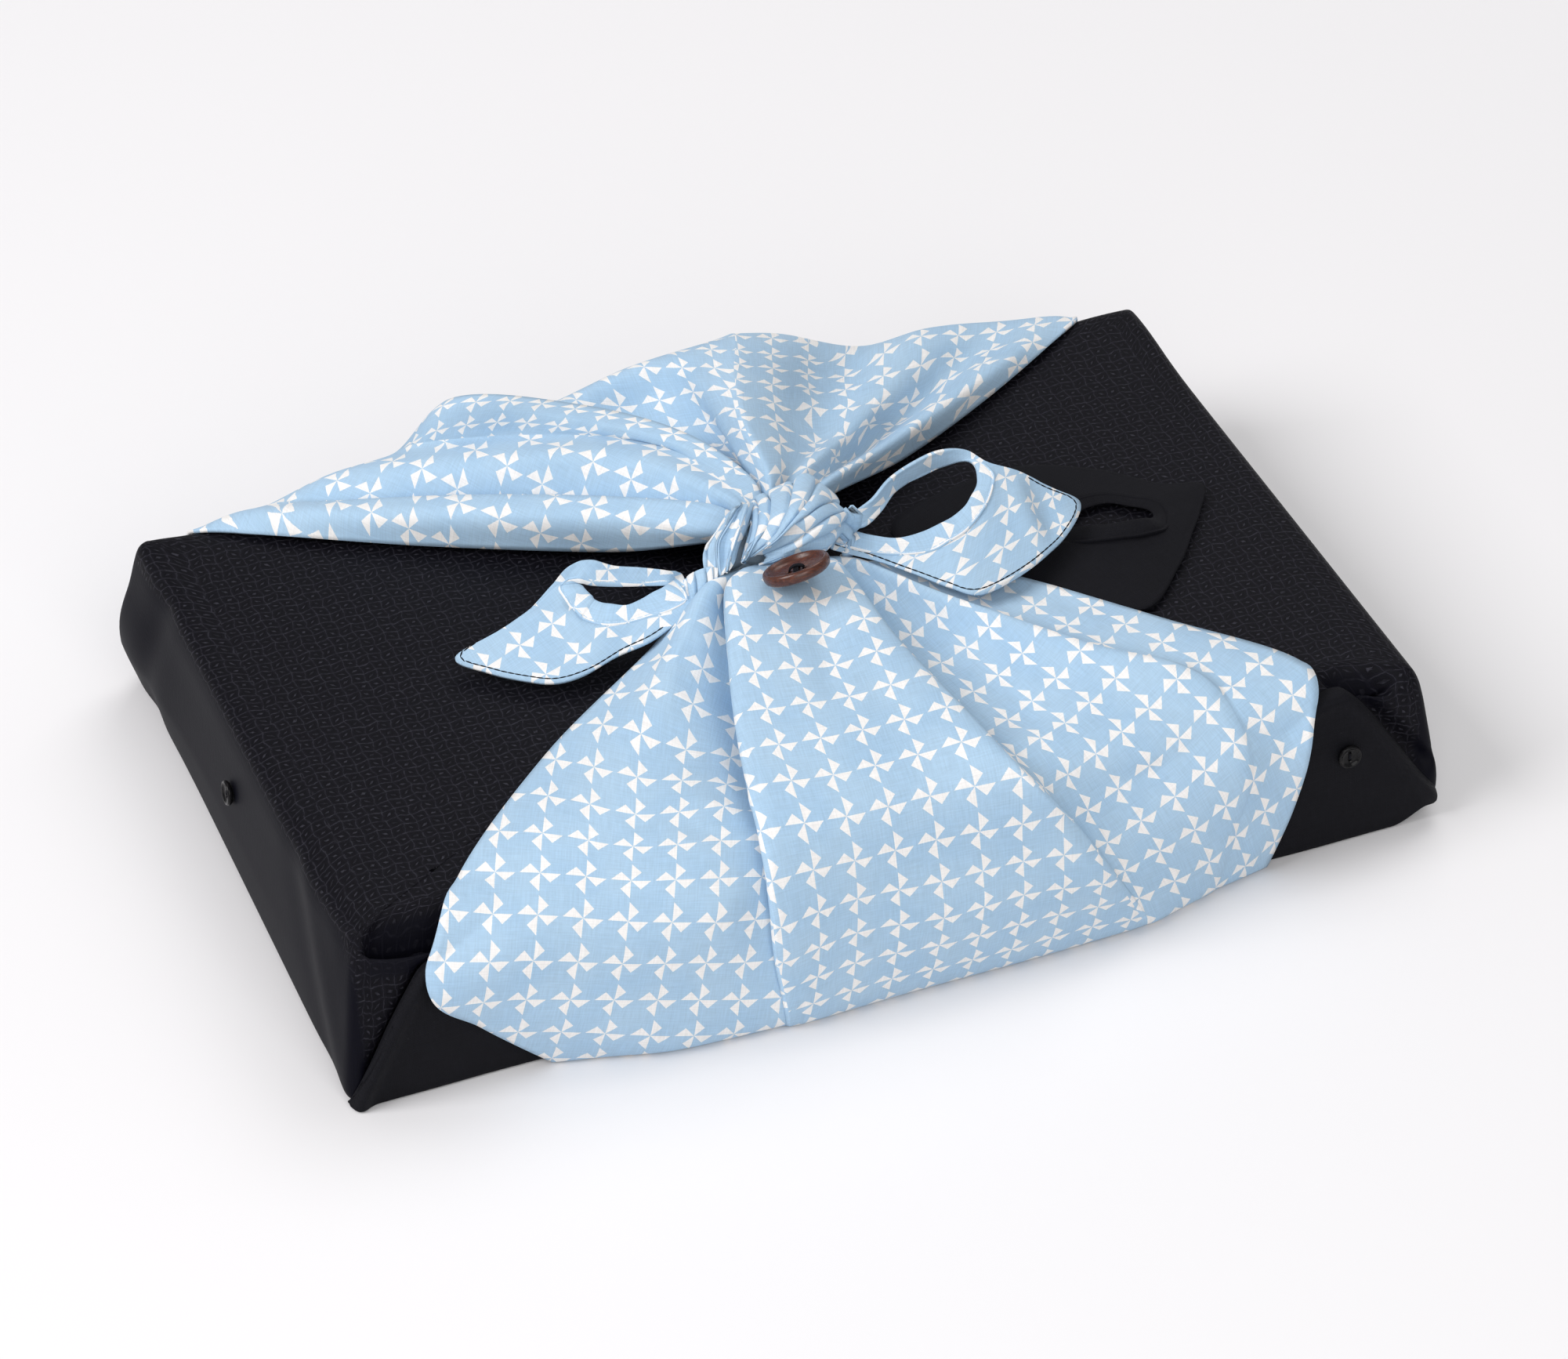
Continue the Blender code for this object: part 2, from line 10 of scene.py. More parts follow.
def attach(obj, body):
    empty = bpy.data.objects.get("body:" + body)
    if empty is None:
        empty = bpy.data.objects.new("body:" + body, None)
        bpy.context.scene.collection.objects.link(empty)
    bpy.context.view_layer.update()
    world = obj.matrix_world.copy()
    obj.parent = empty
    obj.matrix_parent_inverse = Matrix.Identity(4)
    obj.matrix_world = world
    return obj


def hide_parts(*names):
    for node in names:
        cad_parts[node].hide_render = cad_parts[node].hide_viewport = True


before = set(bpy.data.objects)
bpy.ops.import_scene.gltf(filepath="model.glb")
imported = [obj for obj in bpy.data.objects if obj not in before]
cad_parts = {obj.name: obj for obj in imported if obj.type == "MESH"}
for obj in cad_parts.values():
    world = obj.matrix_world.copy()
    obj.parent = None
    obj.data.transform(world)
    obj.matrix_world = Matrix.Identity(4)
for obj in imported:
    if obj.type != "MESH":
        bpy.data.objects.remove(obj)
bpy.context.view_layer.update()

# A carrying wrap tied round a flat bundle. Tables are in millimetres, the scene in metres.
mm = 0.001
scene = bpy.context.scene


# Camera, floor and light

view = {
    "target": (0.0203, 0.0379, 0.0),
    "azimuth": -21.21,          # degrees, from the front towards the left
    "elevation": 38.03,
    "roll": -0.94,
    "distance": 2.3655,
    "lens": 133.63,
    "sensor": 36,
    "picture": (2001, 1734),    # the frame in which places seen from the camera are given
}

studio = {
    "floorSize": 12.0,
    "floorColour": (0.835, 0.825, 0.835),
    "worldColour": (1.0, 0.995, 1.0),
    "worldStrength": 0.32,
    # name, place, aimed at, size, watts, colour
    "lamps": (
        ("keyLamp", (-2.75, 0.0, 2.6), (0, 0.05, 0.05), 2.0, 90, (1.0, 0.99, 1.0)),
        ("topLamp", (1.1, 1.2, 2.5), (0.2, 0.2, 0.05), 1.8, 24, (1.0, 1.0, 1.0)),
        ("frontLamp", (-0.4, -2.6, 1.9), (0, -0.1, 0.05), 2.4, 46, (1.0, 1.0, 1.0)),
    ),
}


def addCamera():
    azimuth, elevation = math.radians(view["azimuth"]), math.radians(view["elevation"])
    back = Vector((math.sin(azimuth) * math.cos(elevation),
                   -math.cos(azimuth) * math.cos(elevation), math.sin(elevation)))
    right = Vector((math.cos(azimuth), math.sin(azimuth), 0))
    up = back.cross(right)
    roll = math.radians(view["roll"])
    rolledRight = right * math.cos(roll) + up * math.sin(roll)
    rolledUp = up * math.cos(roll) - right * math.sin(roll)
    data = bpy.data.cameras.new("camera")
    data.lens = view["lens"]
    data.sensor_fit = "HORIZONTAL"
    data.sensor_width = view["sensor"]
    data.clip_start, data.clip_end = 0.1, 30
    camera = bpy.data.objects.new("camera", data)
    turn = Matrix((rolledRight, rolledUp, back)).transposed().to_4x4()
    camera.matrix_world = Matrix.Translation(Vector(view["target"]) + back * view["distance"]) @ turn
    scene.collection.objects.link(camera)
    scene.camera = camera


# Where the camera stands, and the way it looks to reach one place in its picture.
def lineOfSight(column, row):
    wide, high = view["picture"]
    step = view["sensor"] / view["lens"] / wide
    turn = scene.camera.matrix_world
    way = turn.to_3x3() @ Vector(((column - wide / 2) * step, (high / 2 - row) * step, -1))
    return turn.translation, way.normalized()


def addStudio():
    world = bpy.data.worlds.new("studio")
    world.use_nodes = True
    background = world.node_tree.nodes["Background"]
    background.inputs["Color"].default_value = (*studio["worldColour"], 1)
    background.inputs["Strength"].default_value = studio["worldStrength"]
    scene.world = world
    for name, place, aim, size, watts, colour in studio["lamps"]:
        data = bpy.data.lights.new(name, "AREA")
        data.shape = "SQUARE"
        data.size = size
        data.energy = watts
        data.color = colour
        lamp = bpy.data.objects.new(name, data)
        way = Vector(aim) - Vector(place)
        lamp.matrix_world = Matrix.Translation(place) @ way.to_track_quat("-Z", "Y").to_matrix().to_4x4()
        scene.collection.objects.link(lamp)
    half = studio["floorSize"] / 2
    floorMesh = bpy.data.meshes.new("floor")
    floorMesh.from_pydata([(-half, -half, 0), (half, -half, 0), (half, half, 0), (-half, half, 0)],
                          [], [(0, 1, 2, 3)])
    floor = bpy.data.objects.new("floor", floorMesh)
    scene.collection.objects.link(floor)
    paint = bpy.data.materials.new("paleFloor")
    paint.use_nodes = True
    shader = paint.node_tree.nodes["Principled BSDF"]
    shader.inputs["Base Color"].default_value = (*studio["floorColour"], 1)
    shader.inputs["Roughness"].default_value = 0.9
    shader.inputs["Specular IOR Level"].default_value = 0.1
    floorMesh.materials.append(paint)
    scene.view_settings.view_transform = "Standard"


addCamera()
addStudio()
print("camera and studio")


# Material helpers

def newMaterial(name, roughness, specular=0.3, sheen=0.0, sheenRoughness=0.5, sheenTint=(1, 1, 1)):
    made = bpy.data.materials.new(name)
    made.use_nodes = True
    shader = made.node_tree.nodes["Principled BSDF"]
    shader.inputs["Roughness"].default_value = roughness
    shader.inputs["Specular IOR Level"].default_value = specular
    shader.inputs["Sheen Weight"].default_value = sheen
    shader.inputs["Sheen Roughness"].default_value = sheenRoughness
    shader.inputs["Sheen Tint"].default_value = (*sheenTint, 1)
    return made, made.node_tree, shader


def feed(tree, socket, value):
    if isinstance(value, bpy.types.NodeSocket):
        tree.links.new(value, socket)
    elif value is not None:
        socket.default_value = value


def mathNode(tree, operation, *values):
    node = tree.nodes.new("ShaderNodeMath")
    node.operation = operation
    for socket, value in zip(node.inputs, values):
        feed(tree, socket, value)
    return node.outputs[0]


def vectorNode(tree, operation, *values, scale=None):
    node = tree.nodes.new("ShaderNodeVectorMath")
    node.operation = operation
    for socket, value in zip(node.inputs, values):
        feed(tree, socket, value)
    if scale is not None:
        feed(tree, node.inputs["Scale"], scale)
    return node.outputs["Vector"]


def splitNode(tree, vector):
    node = tree.nodes.new("ShaderNodeSeparateXYZ")
    feed(tree, node.inputs[0], vector)
    return node.outputs[0], node.outputs[1]


def rangeNode(tree, value, low, high, newLow=0.0, newHigh=1.0, smooth=True):
    node = tree.nodes.new("ShaderNodeMapRange")
    node.interpolation_type = "SMOOTHSTEP" if smooth else "LINEAR"
    for socket, given in zip(node.inputs, (value, low, high, newLow, newHigh)):
        feed(tree, socket, given)
    return node.outputs[0]


def colourMix(tree, share, first, second, blend="MIX"):
    node = tree.nodes.new("ShaderNodeMix")
    node.data_type = "RGBA"
    node.blend_type = blend
    feed(tree, node.inputs[0], share)
    for socket, value in ((node.inputs[6], first), (node.inputs[7], second)):
        feed(tree, socket, value if isinstance(value, bpy.types.NodeSocket) else (*value, 1))
    return node.outputs[2]


def noiseNode(tree, vector, scale, detail=2.0, stretch=None):
    if stretch is not None:
        vector = vectorNode(tree, "MULTIPLY", vector, stretch)
    node = tree.nodes.new("ShaderNodeTexNoise")
    feed(tree, node.inputs["Vector"], vector)
    node.inputs["Scale"].default_value = scale
    node.inputs["Detail"].default_value = detail
    return node.outputs["Fac"]


def bumpNode(tree, shader, height, distance):
    node = tree.nodes.new("ShaderNodeBump")
    feed(tree, node.inputs["Height"], height)
    node.inputs["Distance"].default_value = distance
    node.inputs["Strength"].default_value = 1.0
    tree.links.new(node.outputs[0], shader.inputs["Normal"])


def clothUv(tree):
    node = tree.nodes.new("ShaderNodeUVMap")
    node.uv_map = "cloth"
    return node.outputs[0]


def shadeColour(tree, value):
    node = tree.nodes.new("ShaderNodeCombineColor")
    for socket in node.inputs:
        feed(tree, socket, value)
    return node.outputs[0]


# The plain weave's threads: two crossed waves, one over the other by turns.
def threads(tree, uv, pitch):
    across, along = splitNode(tree, vectorNode(tree, "SCALE", uv, scale=math.pi / pitch))
    warp = mathNode(tree, "ABSOLUTE", mathNode(tree, "SINE", across))
    weft = mathNode(tree, "ABSOLUTE", mathNode(tree, "SINE", along))
    over = mathNode(tree, "MULTIPLY", mathNode(tree, "COSINE", across), mathNode(tree, "COSINE", along))
    turns = rangeNode(tree, over, -0.3, 0.3)
    mixed = tree.nodes.new("ShaderNodeMix")
    feed(tree, mixed.inputs[0], turns)
    feed(tree, mixed.inputs[2], warp)
    feed(tree, mixed.inputs[3], weft)
    return mixed.outputs[0]


# Uneven yarn: noise drawn out along each of the two thread directions.
def slubs(tree, uv, scale):
    one = noiseNode(tree, uv, scale, 3.0, (1.0, 0.06, 1.0))
    two = noiseNode(tree, uv, scale, 3.0, (0.06, 1.0, 1.0))
    return mathNode(tree, "MULTIPLY", mathNode(tree, "ADD", one, two), 0.5)


# Printed cotton

printed = {
    "pitch": 0.0200,            # metres from one pinwheel to the next
    "tip": 0.455,               # how far a blade reaches, as a share of the pitch
    "ground": (0.435, 0.612, 0.782),
    "deepGround": (0.395, 0.580, 0.770),
    "white": (0.90, 0.885, 0.87),
    "weavePitch": 0.00042,
    "wobble": 0.040,            # the blades' ragged edge, as a share of the pitch
    "yarn": 1500, "yarnShade": (0.89, 1.08),
    "weaveShade": (0.955, 1.02),
    "relief": 0.00007,
    "settles": (1.2, 5.0),      # how far from the placed repeats it is at its true size, in pitches
}


def printedCotton():
    made, tree, shader = newMaterial("printedCotton", 0.86, 0.22, 0.10, 0.45)
    uv = clothUv(tree)
    cell = vectorNode(tree, "SCALE", uv, scale=1 / printed["pitch"])
    ragged = noiseNode(tree, uv, 2600, 1.0)
    shake = mathNode(tree, "MULTIPLY", mathNode(tree, "SUBTRACT", ragged, 0.5), printed["wobble"])
    cell = vectorNode(tree, "ADD", cell, vectorNode(tree, "SCALE", (0.5, -0.5, 0.0), scale=shake))
    cell = vectorNode(tree, "FRACTION", vectorNode(tree, "ADD", cell, (0.5, 0.5, 0.0)))
    cell = vectorNode(tree, "SUBTRACT", cell, (0.5, 0.5, 0.0))
    x, y = splitNode(tree, cell)
    ax, ay = mathNode(tree, "ABSOLUTE", x), mathNode(tree, "ABSOLUTE", y)
    # four right-angled blades: inside the diamond, and on the one side of each axis and diagonal
    inside = rangeNode(tree, mathNode(tree, "ADD", ax, ay), printed["tip"] + 0.004, printed["tip"] - 0.004)
    side = mathNode(tree, "MULTIPLY", mathNode(tree, "MULTIPLY", x, y), mathNode(tree, "SUBTRACT", ay, ax))
    blade = mathNode(tree, "MULTIPLY", inside, mathNode(tree, "GREATER_THAN", side, 0.0))
    yarn = slubs(tree, uv, printed["yarn"])
    cloudy = noiseNode(tree, uv, 38, 3.0)
    ground = colourMix(tree, rangeNode(tree, cloudy, 0.3, 0.75), printed["ground"], printed["deepGround"])
    colour = colourMix(tree, blade, ground, printed["white"])
    weave = threads(tree, uv, printed["weavePitch"])
    shade = rangeNode(tree, yarn, 0.32, 0.68, *printed["yarnShade"], smooth=False)
    # painted shade: the colour darkens where the threads lie low, following the weave's relief
    woven = rangeNode(tree, weave, 0.0, 1.0, *printed["weaveShade"], smooth=False)
    shade = mathNode(tree, "MULTIPLY", shade, woven)
    colour = colourMix(tree, 1.0, colour, shadeColour(tree, shade), "MULTIPLY")
    feed(tree, shader.inputs["Base Color"], colour)
    height = mathNode(tree, "ADD", weave, mathNode(tree, "MULTIPLY", yarn, 1.6))
    bumpNode(tree, shader, height, printed["relief"])
    return made


# Black cottons

dobby = {
    "cell": (0.0052, 0.0052),   # metres, one woven square
    "base": (0.0054, 0.0051, 0.0080),
    # painted shade in the hollow of each square
    "pitShade": (0.0037, 0.0035, 0.0056),
    # painted highlight: the floats are coloured much lighter than the ground, standing in for the sheen that
    # catches their relief
    "raised": (0.0310, 0.0305, 0.0400),
    # painted shade: the darker, unpatterned colour of the ends and the envelope folds
    "paintedShade": (0.0022, 0.0022, 0.0056),
    "sheen": 0.006,
    "specular": 0.075,
    "relief": 0.00036,
    "wander": 0.38, "wanderScale": 280,     # how unevenly the squares lie
    "zigzag": (0.18, 0.24),                 # how far rows and columns step, as shares of a square
    # the lines round each square: where they start and reach full height, and how strong they are
    "uprights": (0.43, 0.48, 0.62),
    "levels": (0.425, 0.48, 0.85),
    # the slanting lozenge: its slant, how narrow it is both ways, and where its edge fades
    "slant": (0.85, 0.53),
    "narrow": (3.6, 8.5),
    "edge": (1.20, 0.70),
}
plainBlack = {
    "base": (0.0055, 0.0055, 0.0078),
    "fleck": (0.05, 0.05, 0.055),
    "sheen": 0.015,
    "specular": 0.09,
    "weavePitch": 0.00050,
    "relief": 0.00008,
}


def dobbyCotton():
    made, tree, shader = newMaterial("dobbyCotton", 0.55, dobby["specular"], dobby["sheen"], 0.38,
                                     (0.85, 0.88, 1.0))
    uv = clothUv(tree)
    # the squares wander, so that no two rows of floats are quite alike
    cell = vectorNode(tree, "MULTIPLY", uv, (1 / dobby["cell"][0], 1 / dobby["cell"][1], 1.0))
    for place, way in (((0.0, 0.0, 0.0), (1.0, 0.0, 0.0)), ((0.7, 0.3, 0.0), (0.0, 1.0, 0.0))):
        wander = noiseNode(tree, vectorNode(tree, "ADD", uv, place), dobby["wanderScale"], 2.0)
        drift = mathNode(tree, "MULTIPLY", mathNode(tree, "SUBTRACT", wander, 0.5), dobby["wander"])
        cell = vectorNode(tree, "ADD", cell, vectorNode(tree, "SCALE", way, scale=drift))
    x, y = splitNode(tree, cell)
    zigzag = mathNode(tree, "MULTIPLY", mathNode(tree, "PINGPONG", y, 1.0), dobby["zigzag"][0])
    sideways = mathNode(tree, "MULTIPLY", mathNode(tree, "PINGPONG", x, 1.0), dobby["zigzag"][1])
    x, y = mathNode(tree, "ADD", x, zigzag), mathNode(tree, "ADD", y, sideways)
    turns = mathNode(tree, "ADD", mathNode(tree, "FLOOR", x), mathNode(tree, "FLOOR", y))
    turns = mathNode(tree, "MULTIPLY", mathNode(tree, "PINGPONG", turns, 1.0), 2.0)
    turns = mathNode(tree, "SUBTRACT", 1.0, turns)
    fx = mathNode(tree, "SUBTRACT", mathNode(tree, "FRACT", x), 0.5)
    fy = mathNode(tree, "SUBTRACT", mathNode(tree, "FRACT", y), 0.5)
    ax, ay = mathNode(tree, "ABSOLUTE", fx), mathNode(tree, "ABSOLUTE", fy)
    broken = rangeNode(tree, noiseNode(tree, uv, 420, 2.0), 0.36, 0.60, 0.25, 1.0)
    lines = []
    for away, (start, full, strength) in ((ax, dobby["uprights"]), (ay, dobby["levels"])):
        lines.append(mathNode(tree, "MULTIPLY", rangeNode(tree, away, start, full), strength))
    lines = mathNode(tree, "MAXIMUM", *lines)
    # one slanting lozenge of floats in each square, leaning left and right by turns, over a hollow painted
    # darker as shade
    lean = mathNode(tree, "MULTIPLY", fx, turns)
    long, short = dobby["slant"]
    along = mathNode(tree, "ADD", mathNode(tree, "MULTIPLY", lean, long),
                     mathNode(tree, "MULTIPLY", fy, short))
    beside = mathNode(tree, "SUBTRACT", mathNode(tree, "MULTIPLY", fy, long),
                      mathNode(tree, "MULTIPLY", lean, short))
    eye = [mathNode(tree, "MULTIPLY", mathNode(tree, "ABSOLUTE", way), narrow)
           for way, narrow in zip((along, beside), dobby["narrow"])]
    lozenge = rangeNode(tree, mathNode(tree, "ADD", *eye), *dobby["edge"])
    raised = mathNode(tree, "MULTIPLY", mathNode(tree, "MAXIMUM", lines, lozenge), broken)
    # the smooth attribute marks painted shade: there the figure is left out and the ground darkened
    smooth = tree.nodes.new("ShaderNodeAttribute")
    smooth.attribute_name = "smooth"
    figured = mathNode(tree, "SUBTRACT", 1.0, smooth.outputs["Fac"])
    raised = mathNode(tree, "MULTIPLY", raised, figured)
    # painted shade: each square's hollow is darkened
    hollowShade = rangeNode(tree, mathNode(tree, "MAXIMUM", ax, ay), 0.40, 0.28)
    hollowShade = mathNode(tree, "MULTIPLY", hollowShade, figured)
    ground = colourMix(tree, smooth.outputs["Fac"], dobby["base"], dobby["paintedShade"])
    colour = colourMix(tree, hollowShade, ground, dobby["pitShade"])
    # painted highlight on the raised floats
    colour = colourMix(tree, raised, colour, dobby["raised"])
    yarn = slubs(tree, uv, 1800)
    shade = rangeNode(tree, yarn, 0.3, 0.7, 0.82, 1.2, smooth=False)
    colour = colourMix(tree, 1.0, colour, shadeColour(tree, shade), "MULTIPLY")
    feed(tree, shader.inputs["Base Color"], colour)
    height = mathNode(tree, "ADD", raised, mathNode(tree, "MULTIPLY", yarn, 0.30))
    bumpNode(tree, shader, height, dobby["relief"])
    return made


def plainBlackCotton():
    made, tree, shader = newMaterial("plainBlackCotton", 0.62, plainBlack["specular"], plainBlack["sheen"],
                                     0.4, (0.9, 0.9, 1.0))
    uv = clothUv(tree)
    yarn = slubs(tree, uv, 1500)
    weave = threads(tree, uv, plainBlack["weavePitch"])
    specks = rangeNode(tree, noiseNode(tree, uv, 700, 1.0), 0.74, 0.80)
    shade = rangeNode(tree, yarn, 0.3, 0.7, 0.75, 1.3, smooth=False)
    colour = colourMix(tree, 1.0, plainBlack["base"], shadeColour(tree, shade), "MULTIPLY")
    colour = colourMix(tree, mathNode(tree, "MULTIPLY", specks, 0.25), colour, plainBlack["fleck"])
    feed(tree, shader.inputs["Base Color"], colour)
    height = mathNode(tree, "ADD", weave, mathNode(tree, "MULTIPLY", yarn, 1.8))
    bumpNode(tree, shader, height, plainBlack["relief"])
    return made


# Buttons and thread finishes

buttonFinish = {
    "woodDark": (0.052, 0.0150, 0.0090),
    "woodLight": (0.112, 0.034, 0.0185),
    "grain": (260.0, 1500.0, 1500.0),       # how finely the streaks lie along each axis
    "woodRelief": 0.00004,
    "blackDark": (0.005, 0.005, 0.006),
    "blackLight": (0.010, 0.0095, 0.010),
}


def buttonWood():
    made, tree, shader = newMaterial("stainedWood", 0.28, 0.5)
    place = tree.nodes.new("ShaderNodeTexCoord").outputs["Object"]
    long = vectorNode(tree, "MULTIPLY", place, buttonFinish["grain"])
    grain = tree.nodes.new("ShaderNodeTexNoise")
    feed(tree, grain.inputs["Vector"], long)
    grain.inputs["Scale"].default_value = 1.0
    grain.inputs["Detail"].default_value = 4.0
    grain.inputs["Distortion"].default_value = 0.6
    streak = rangeNode(tree, grain.outputs["Fac"], 0.36, 0.66)
    colour = colourMix(tree, streak, buttonFinish["woodDark"], buttonFinish["woodLight"])
    feed(tree, shader.inputs["Base Color"], colour)
    feed(tree, shader.inputs["Roughness"], rangeNode(tree, streak, 0.0, 1.0, 0.33, 0.25))
    bumpNode(tree, shader, grain.outputs["Fac"], buttonFinish["woodRelief"])
    return made


def polishedBlack():
    made, tree, shader = newMaterial("polishedBlack", 0.18, 0.14)
    place = tree.nodes.new("ShaderNodeTexCoord").outputs["Object"]
    smear = noiseNode(tree, place, 900, 2.0)
    share = rangeNode(tree, smear, 0.3, 0.7)
    colour = colourMix(tree, share, buttonFinish["blackDark"], buttonFinish["blackLight"])
    feed(tree, shader.inputs["Base Color"], colour)
    feed(tree, shader.inputs["Roughness"], rangeNode(tree, smear, 0.3, 0.7, 0.12, 0.22))
    return made


def sewingThread(name, light, dark, specular, sheen):
    made, tree, shader = newMaterial(name, 0.7, specular, sheen)
    place = tree.nodes.new("ShaderNodeTexCoord").outputs["Object"]
    ply = noiseNode(tree, place, 3200, 1.0)
    feed(tree, shader.inputs["Base Color"], colourMix(tree, rangeNode(tree, ply, 0.35, 0.65), dark, light))
    bumpNode(tree, shader, ply, 0.00008)
    return made


finishes = {
    "print": printedCotton(),
    "dobby": dobbyCotton(),
    "plain": plainBlackCotton(),
    "wood": buttonWood(),
    "gloss": polishedBlack(),
    "blackThread": sewingThread("blackThread", (0.010, 0.010, 0.014), (0.004, 0.004, 0.006), 0.12, 0.0),
    "paleThread": sewingThread("paleThread", (0.62, 0.76, 0.88), (0.38, 0.56, 0.74), 0.3, 0.08),
}
print("materials")


# Shape helpers

def span(four, steps):
    a, b, c, d = four
    return [0.5 * (2 * b + (c - a) * t + (2 * a - 5 * b + 4 * c - d) * t ** 2
                   + (3 * b - a - 3 * c + d) * t ** 3)
            for t in np.arange(steps) / steps]


# A smooth step from 0 to 1.
def risen(value, low, high):
    share = np.clip((value - low) / (high - low), 0, 1)
    return share * share * (3 - 2 * share)


def smoothLine(points, steps):
    p = np.asarray(points, float)
    ends = np.concatenate([2 * p[:1] - p[1:2], p, 2 * p[-1:] - p[-2:-1]])
    line = []
    for i in range(len(p) - 1):
        line += span(ends[i:i + 4], steps)
    return np.array(line + [p[-1]])


def smoothLoop(points, steps):
    p = np.asarray(points, float)
    loop = []
    for i in range(len(p)):
        loop += span([p[(i + k) % len(p)] for k in (-1, 0, 1, 2)], steps)
    return np.array(loop)


def gridFaces(rows, columns, closed=False):
    faces = []
    for i in range(rows if closed else rows - 1):
        k = (i + 1) % rows
        for j in range(columns - 1):
            faces.append((i * columns + j, k * columns + j, k * columns + j + 1, i * columns + j + 1))
    return faces


def unit(vectors):
    return vectors / np.maximum(np.linalg.norm(vectors, axis=-1, keepdims=True), 1e-12)


def gridNormals(grid, closed=False):
    if closed:
        down = np.roll(grid, -1, axis=0) - np.roll(grid, 1, axis=0)
    else:
        down = np.gradient(grid, axis=0)
    return unit(np.cross(down, np.gradient(grid, axis=1)))


def makePiece(name, points, faces, finish, uv=None, cornerUv=None):
    mesh = bpy.data.meshes.new(name)
    mesh.from_pydata(np.asarray(points, float).reshape(-1, 3).tolist(), [], faces)
    mesh.materials.append(finishes[finish])
    if uv is not None:
        vertexOf = np.zeros(len(mesh.loops), int)
        mesh.loops.foreach_get("vertex_index", vertexOf)
        cornerUv = np.asarray(uv).reshape(-1, 2)[vertexOf]
    if cornerUv is not None:
        layer = mesh.uv_layers.new(name="cloth")
        layer.data.foreach_set("uv", np.asarray(cornerUv, np.float32).ravel())
    mesh.shade_smooth()
    piece = bpy.data.objects.new(name, mesh)
    scene.collection.objects.link(piece)
    return piece


def thicken(piece, thickness, offset=0.0):
    solid = piece.modifiers.new("clothThickness", "SOLIDIFY")
    solid.thickness = thickness
    solid.offset = offset
    return piece


def fit(piece, slot, *nodes):
    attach(piece, "root")
    if nodes:
        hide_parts(*nodes)
    return piece


# Pushes a grid of points in or out along soft troughs and ridges between two places.
def creased(grid, creases, closed=False):
    points = grid.reshape(-1, 3)
    normals = gridNormals(grid, closed).reshape(-1, 3)
    moved = points.copy()
    for start, end, height, width in creases:
        a, b = np.array(start) * mm, np.array(end) * mm
        along = np.clip((points - a) @ (b - a) / ((b - a) @ (b - a)), 0, 1)
        away = np.linalg.norm(points - (a + along[:, None] * (b - a)), axis=1)
        fade = np.sin(np.pi * np.clip(along, 0.02, 0.98)) ** 0.6
        moved += normals * (height * mm * fade * np.exp(-(away / (width * mm)) ** 2))[:, None]
    return moved.reshape(grid.shape)


# A slow, small waviness over a grid of points.
def uneven(grid, size, height, seed):
    points = grid.reshape(-1, 3)
    normals = gridNormals(grid).reshape(-1, 3)
    lift = np.array([noise.noise(Vector(p) / size + Vector((seed, 0, 0))) for p in points])
    return (points + normals * (lift * height)[:, None]).reshape(grid.shape)


# Unwraps a mesh as one piece of cloth, and gives the flat place of each of its points.
def layFlat(mesh):
    mesh.uv_layers.new(name="flat")
    helper = bpy.data.objects.new("layFlat", mesh)
    scene.collection.objects.link(helper)
    for other in list(bpy.context.selected_objects):
        other.select_set(False)
    bpy.context.view_layer.objects.active = helper
    helper.select_set(True)
    bpy.ops.object.mode_set(mode="EDIT")
    bpy.ops.mesh.select_all(action="SELECT")
    bpy.ops.uv.unwrap(method="MINIMUM_STRETCH", margin=0.0)
    bpy.ops.object.mode_set(mode="OBJECT")
    corners = np.zeros(len(mesh.loops) * 2, np.float32)
    mesh.uv_layers["flat"].data.foreach_get("uv", corners)
    vertexOf = np.zeros(len(mesh.loops), int)
    mesh.loops.foreach_get("vertex_index", vertexOf)
    flat = np.zeros((len(mesh.vertices), 2))
    flat[vertexOf] = corners.reshape(-1, 2)
    bpy.data.objects.remove(helper, do_unlink=True)
    return flat


# Lays a grid of points out flat, at its real size, as one piece of cloth.
def developed(grid, coarse=2):
    rows, columns = grid.shape[:2]
    rowSteps = np.unique(np.append(np.arange(0, rows, coarse), rows - 1))
    columnSteps = np.unique(np.append(np.arange(0, columns, coarse), columns - 1))
    part = grid[np.ix_(rowSteps, columnSteps)]
    mesh = bpy.data.meshes.new("layFlat")
    mesh.from_pydata(part.reshape(-1, 3).tolist(), [], gridFaces(*part.shape[:2]))
    flat = layFlat(mesh).reshape(*part.shape[:2], 2)
    solidLength = np.linalg.norm(np.diff(part, axis=1), axis=-1).sum()
    flat *= solidLength / np.linalg.norm(np.diff(flat, axis=1), axis=-1).sum()
    full = np.zeros((rows, columns, 2))
    for axis in range(2):
        across = np.array([np.interp(np.arange(rows), rowSteps, flat[:, j, axis])
                           for j in range(len(columnSteps))]).T
        full[..., axis] = np.array([np.interp(np.arange(columns), columnSteps, row) for row in across])
    return full


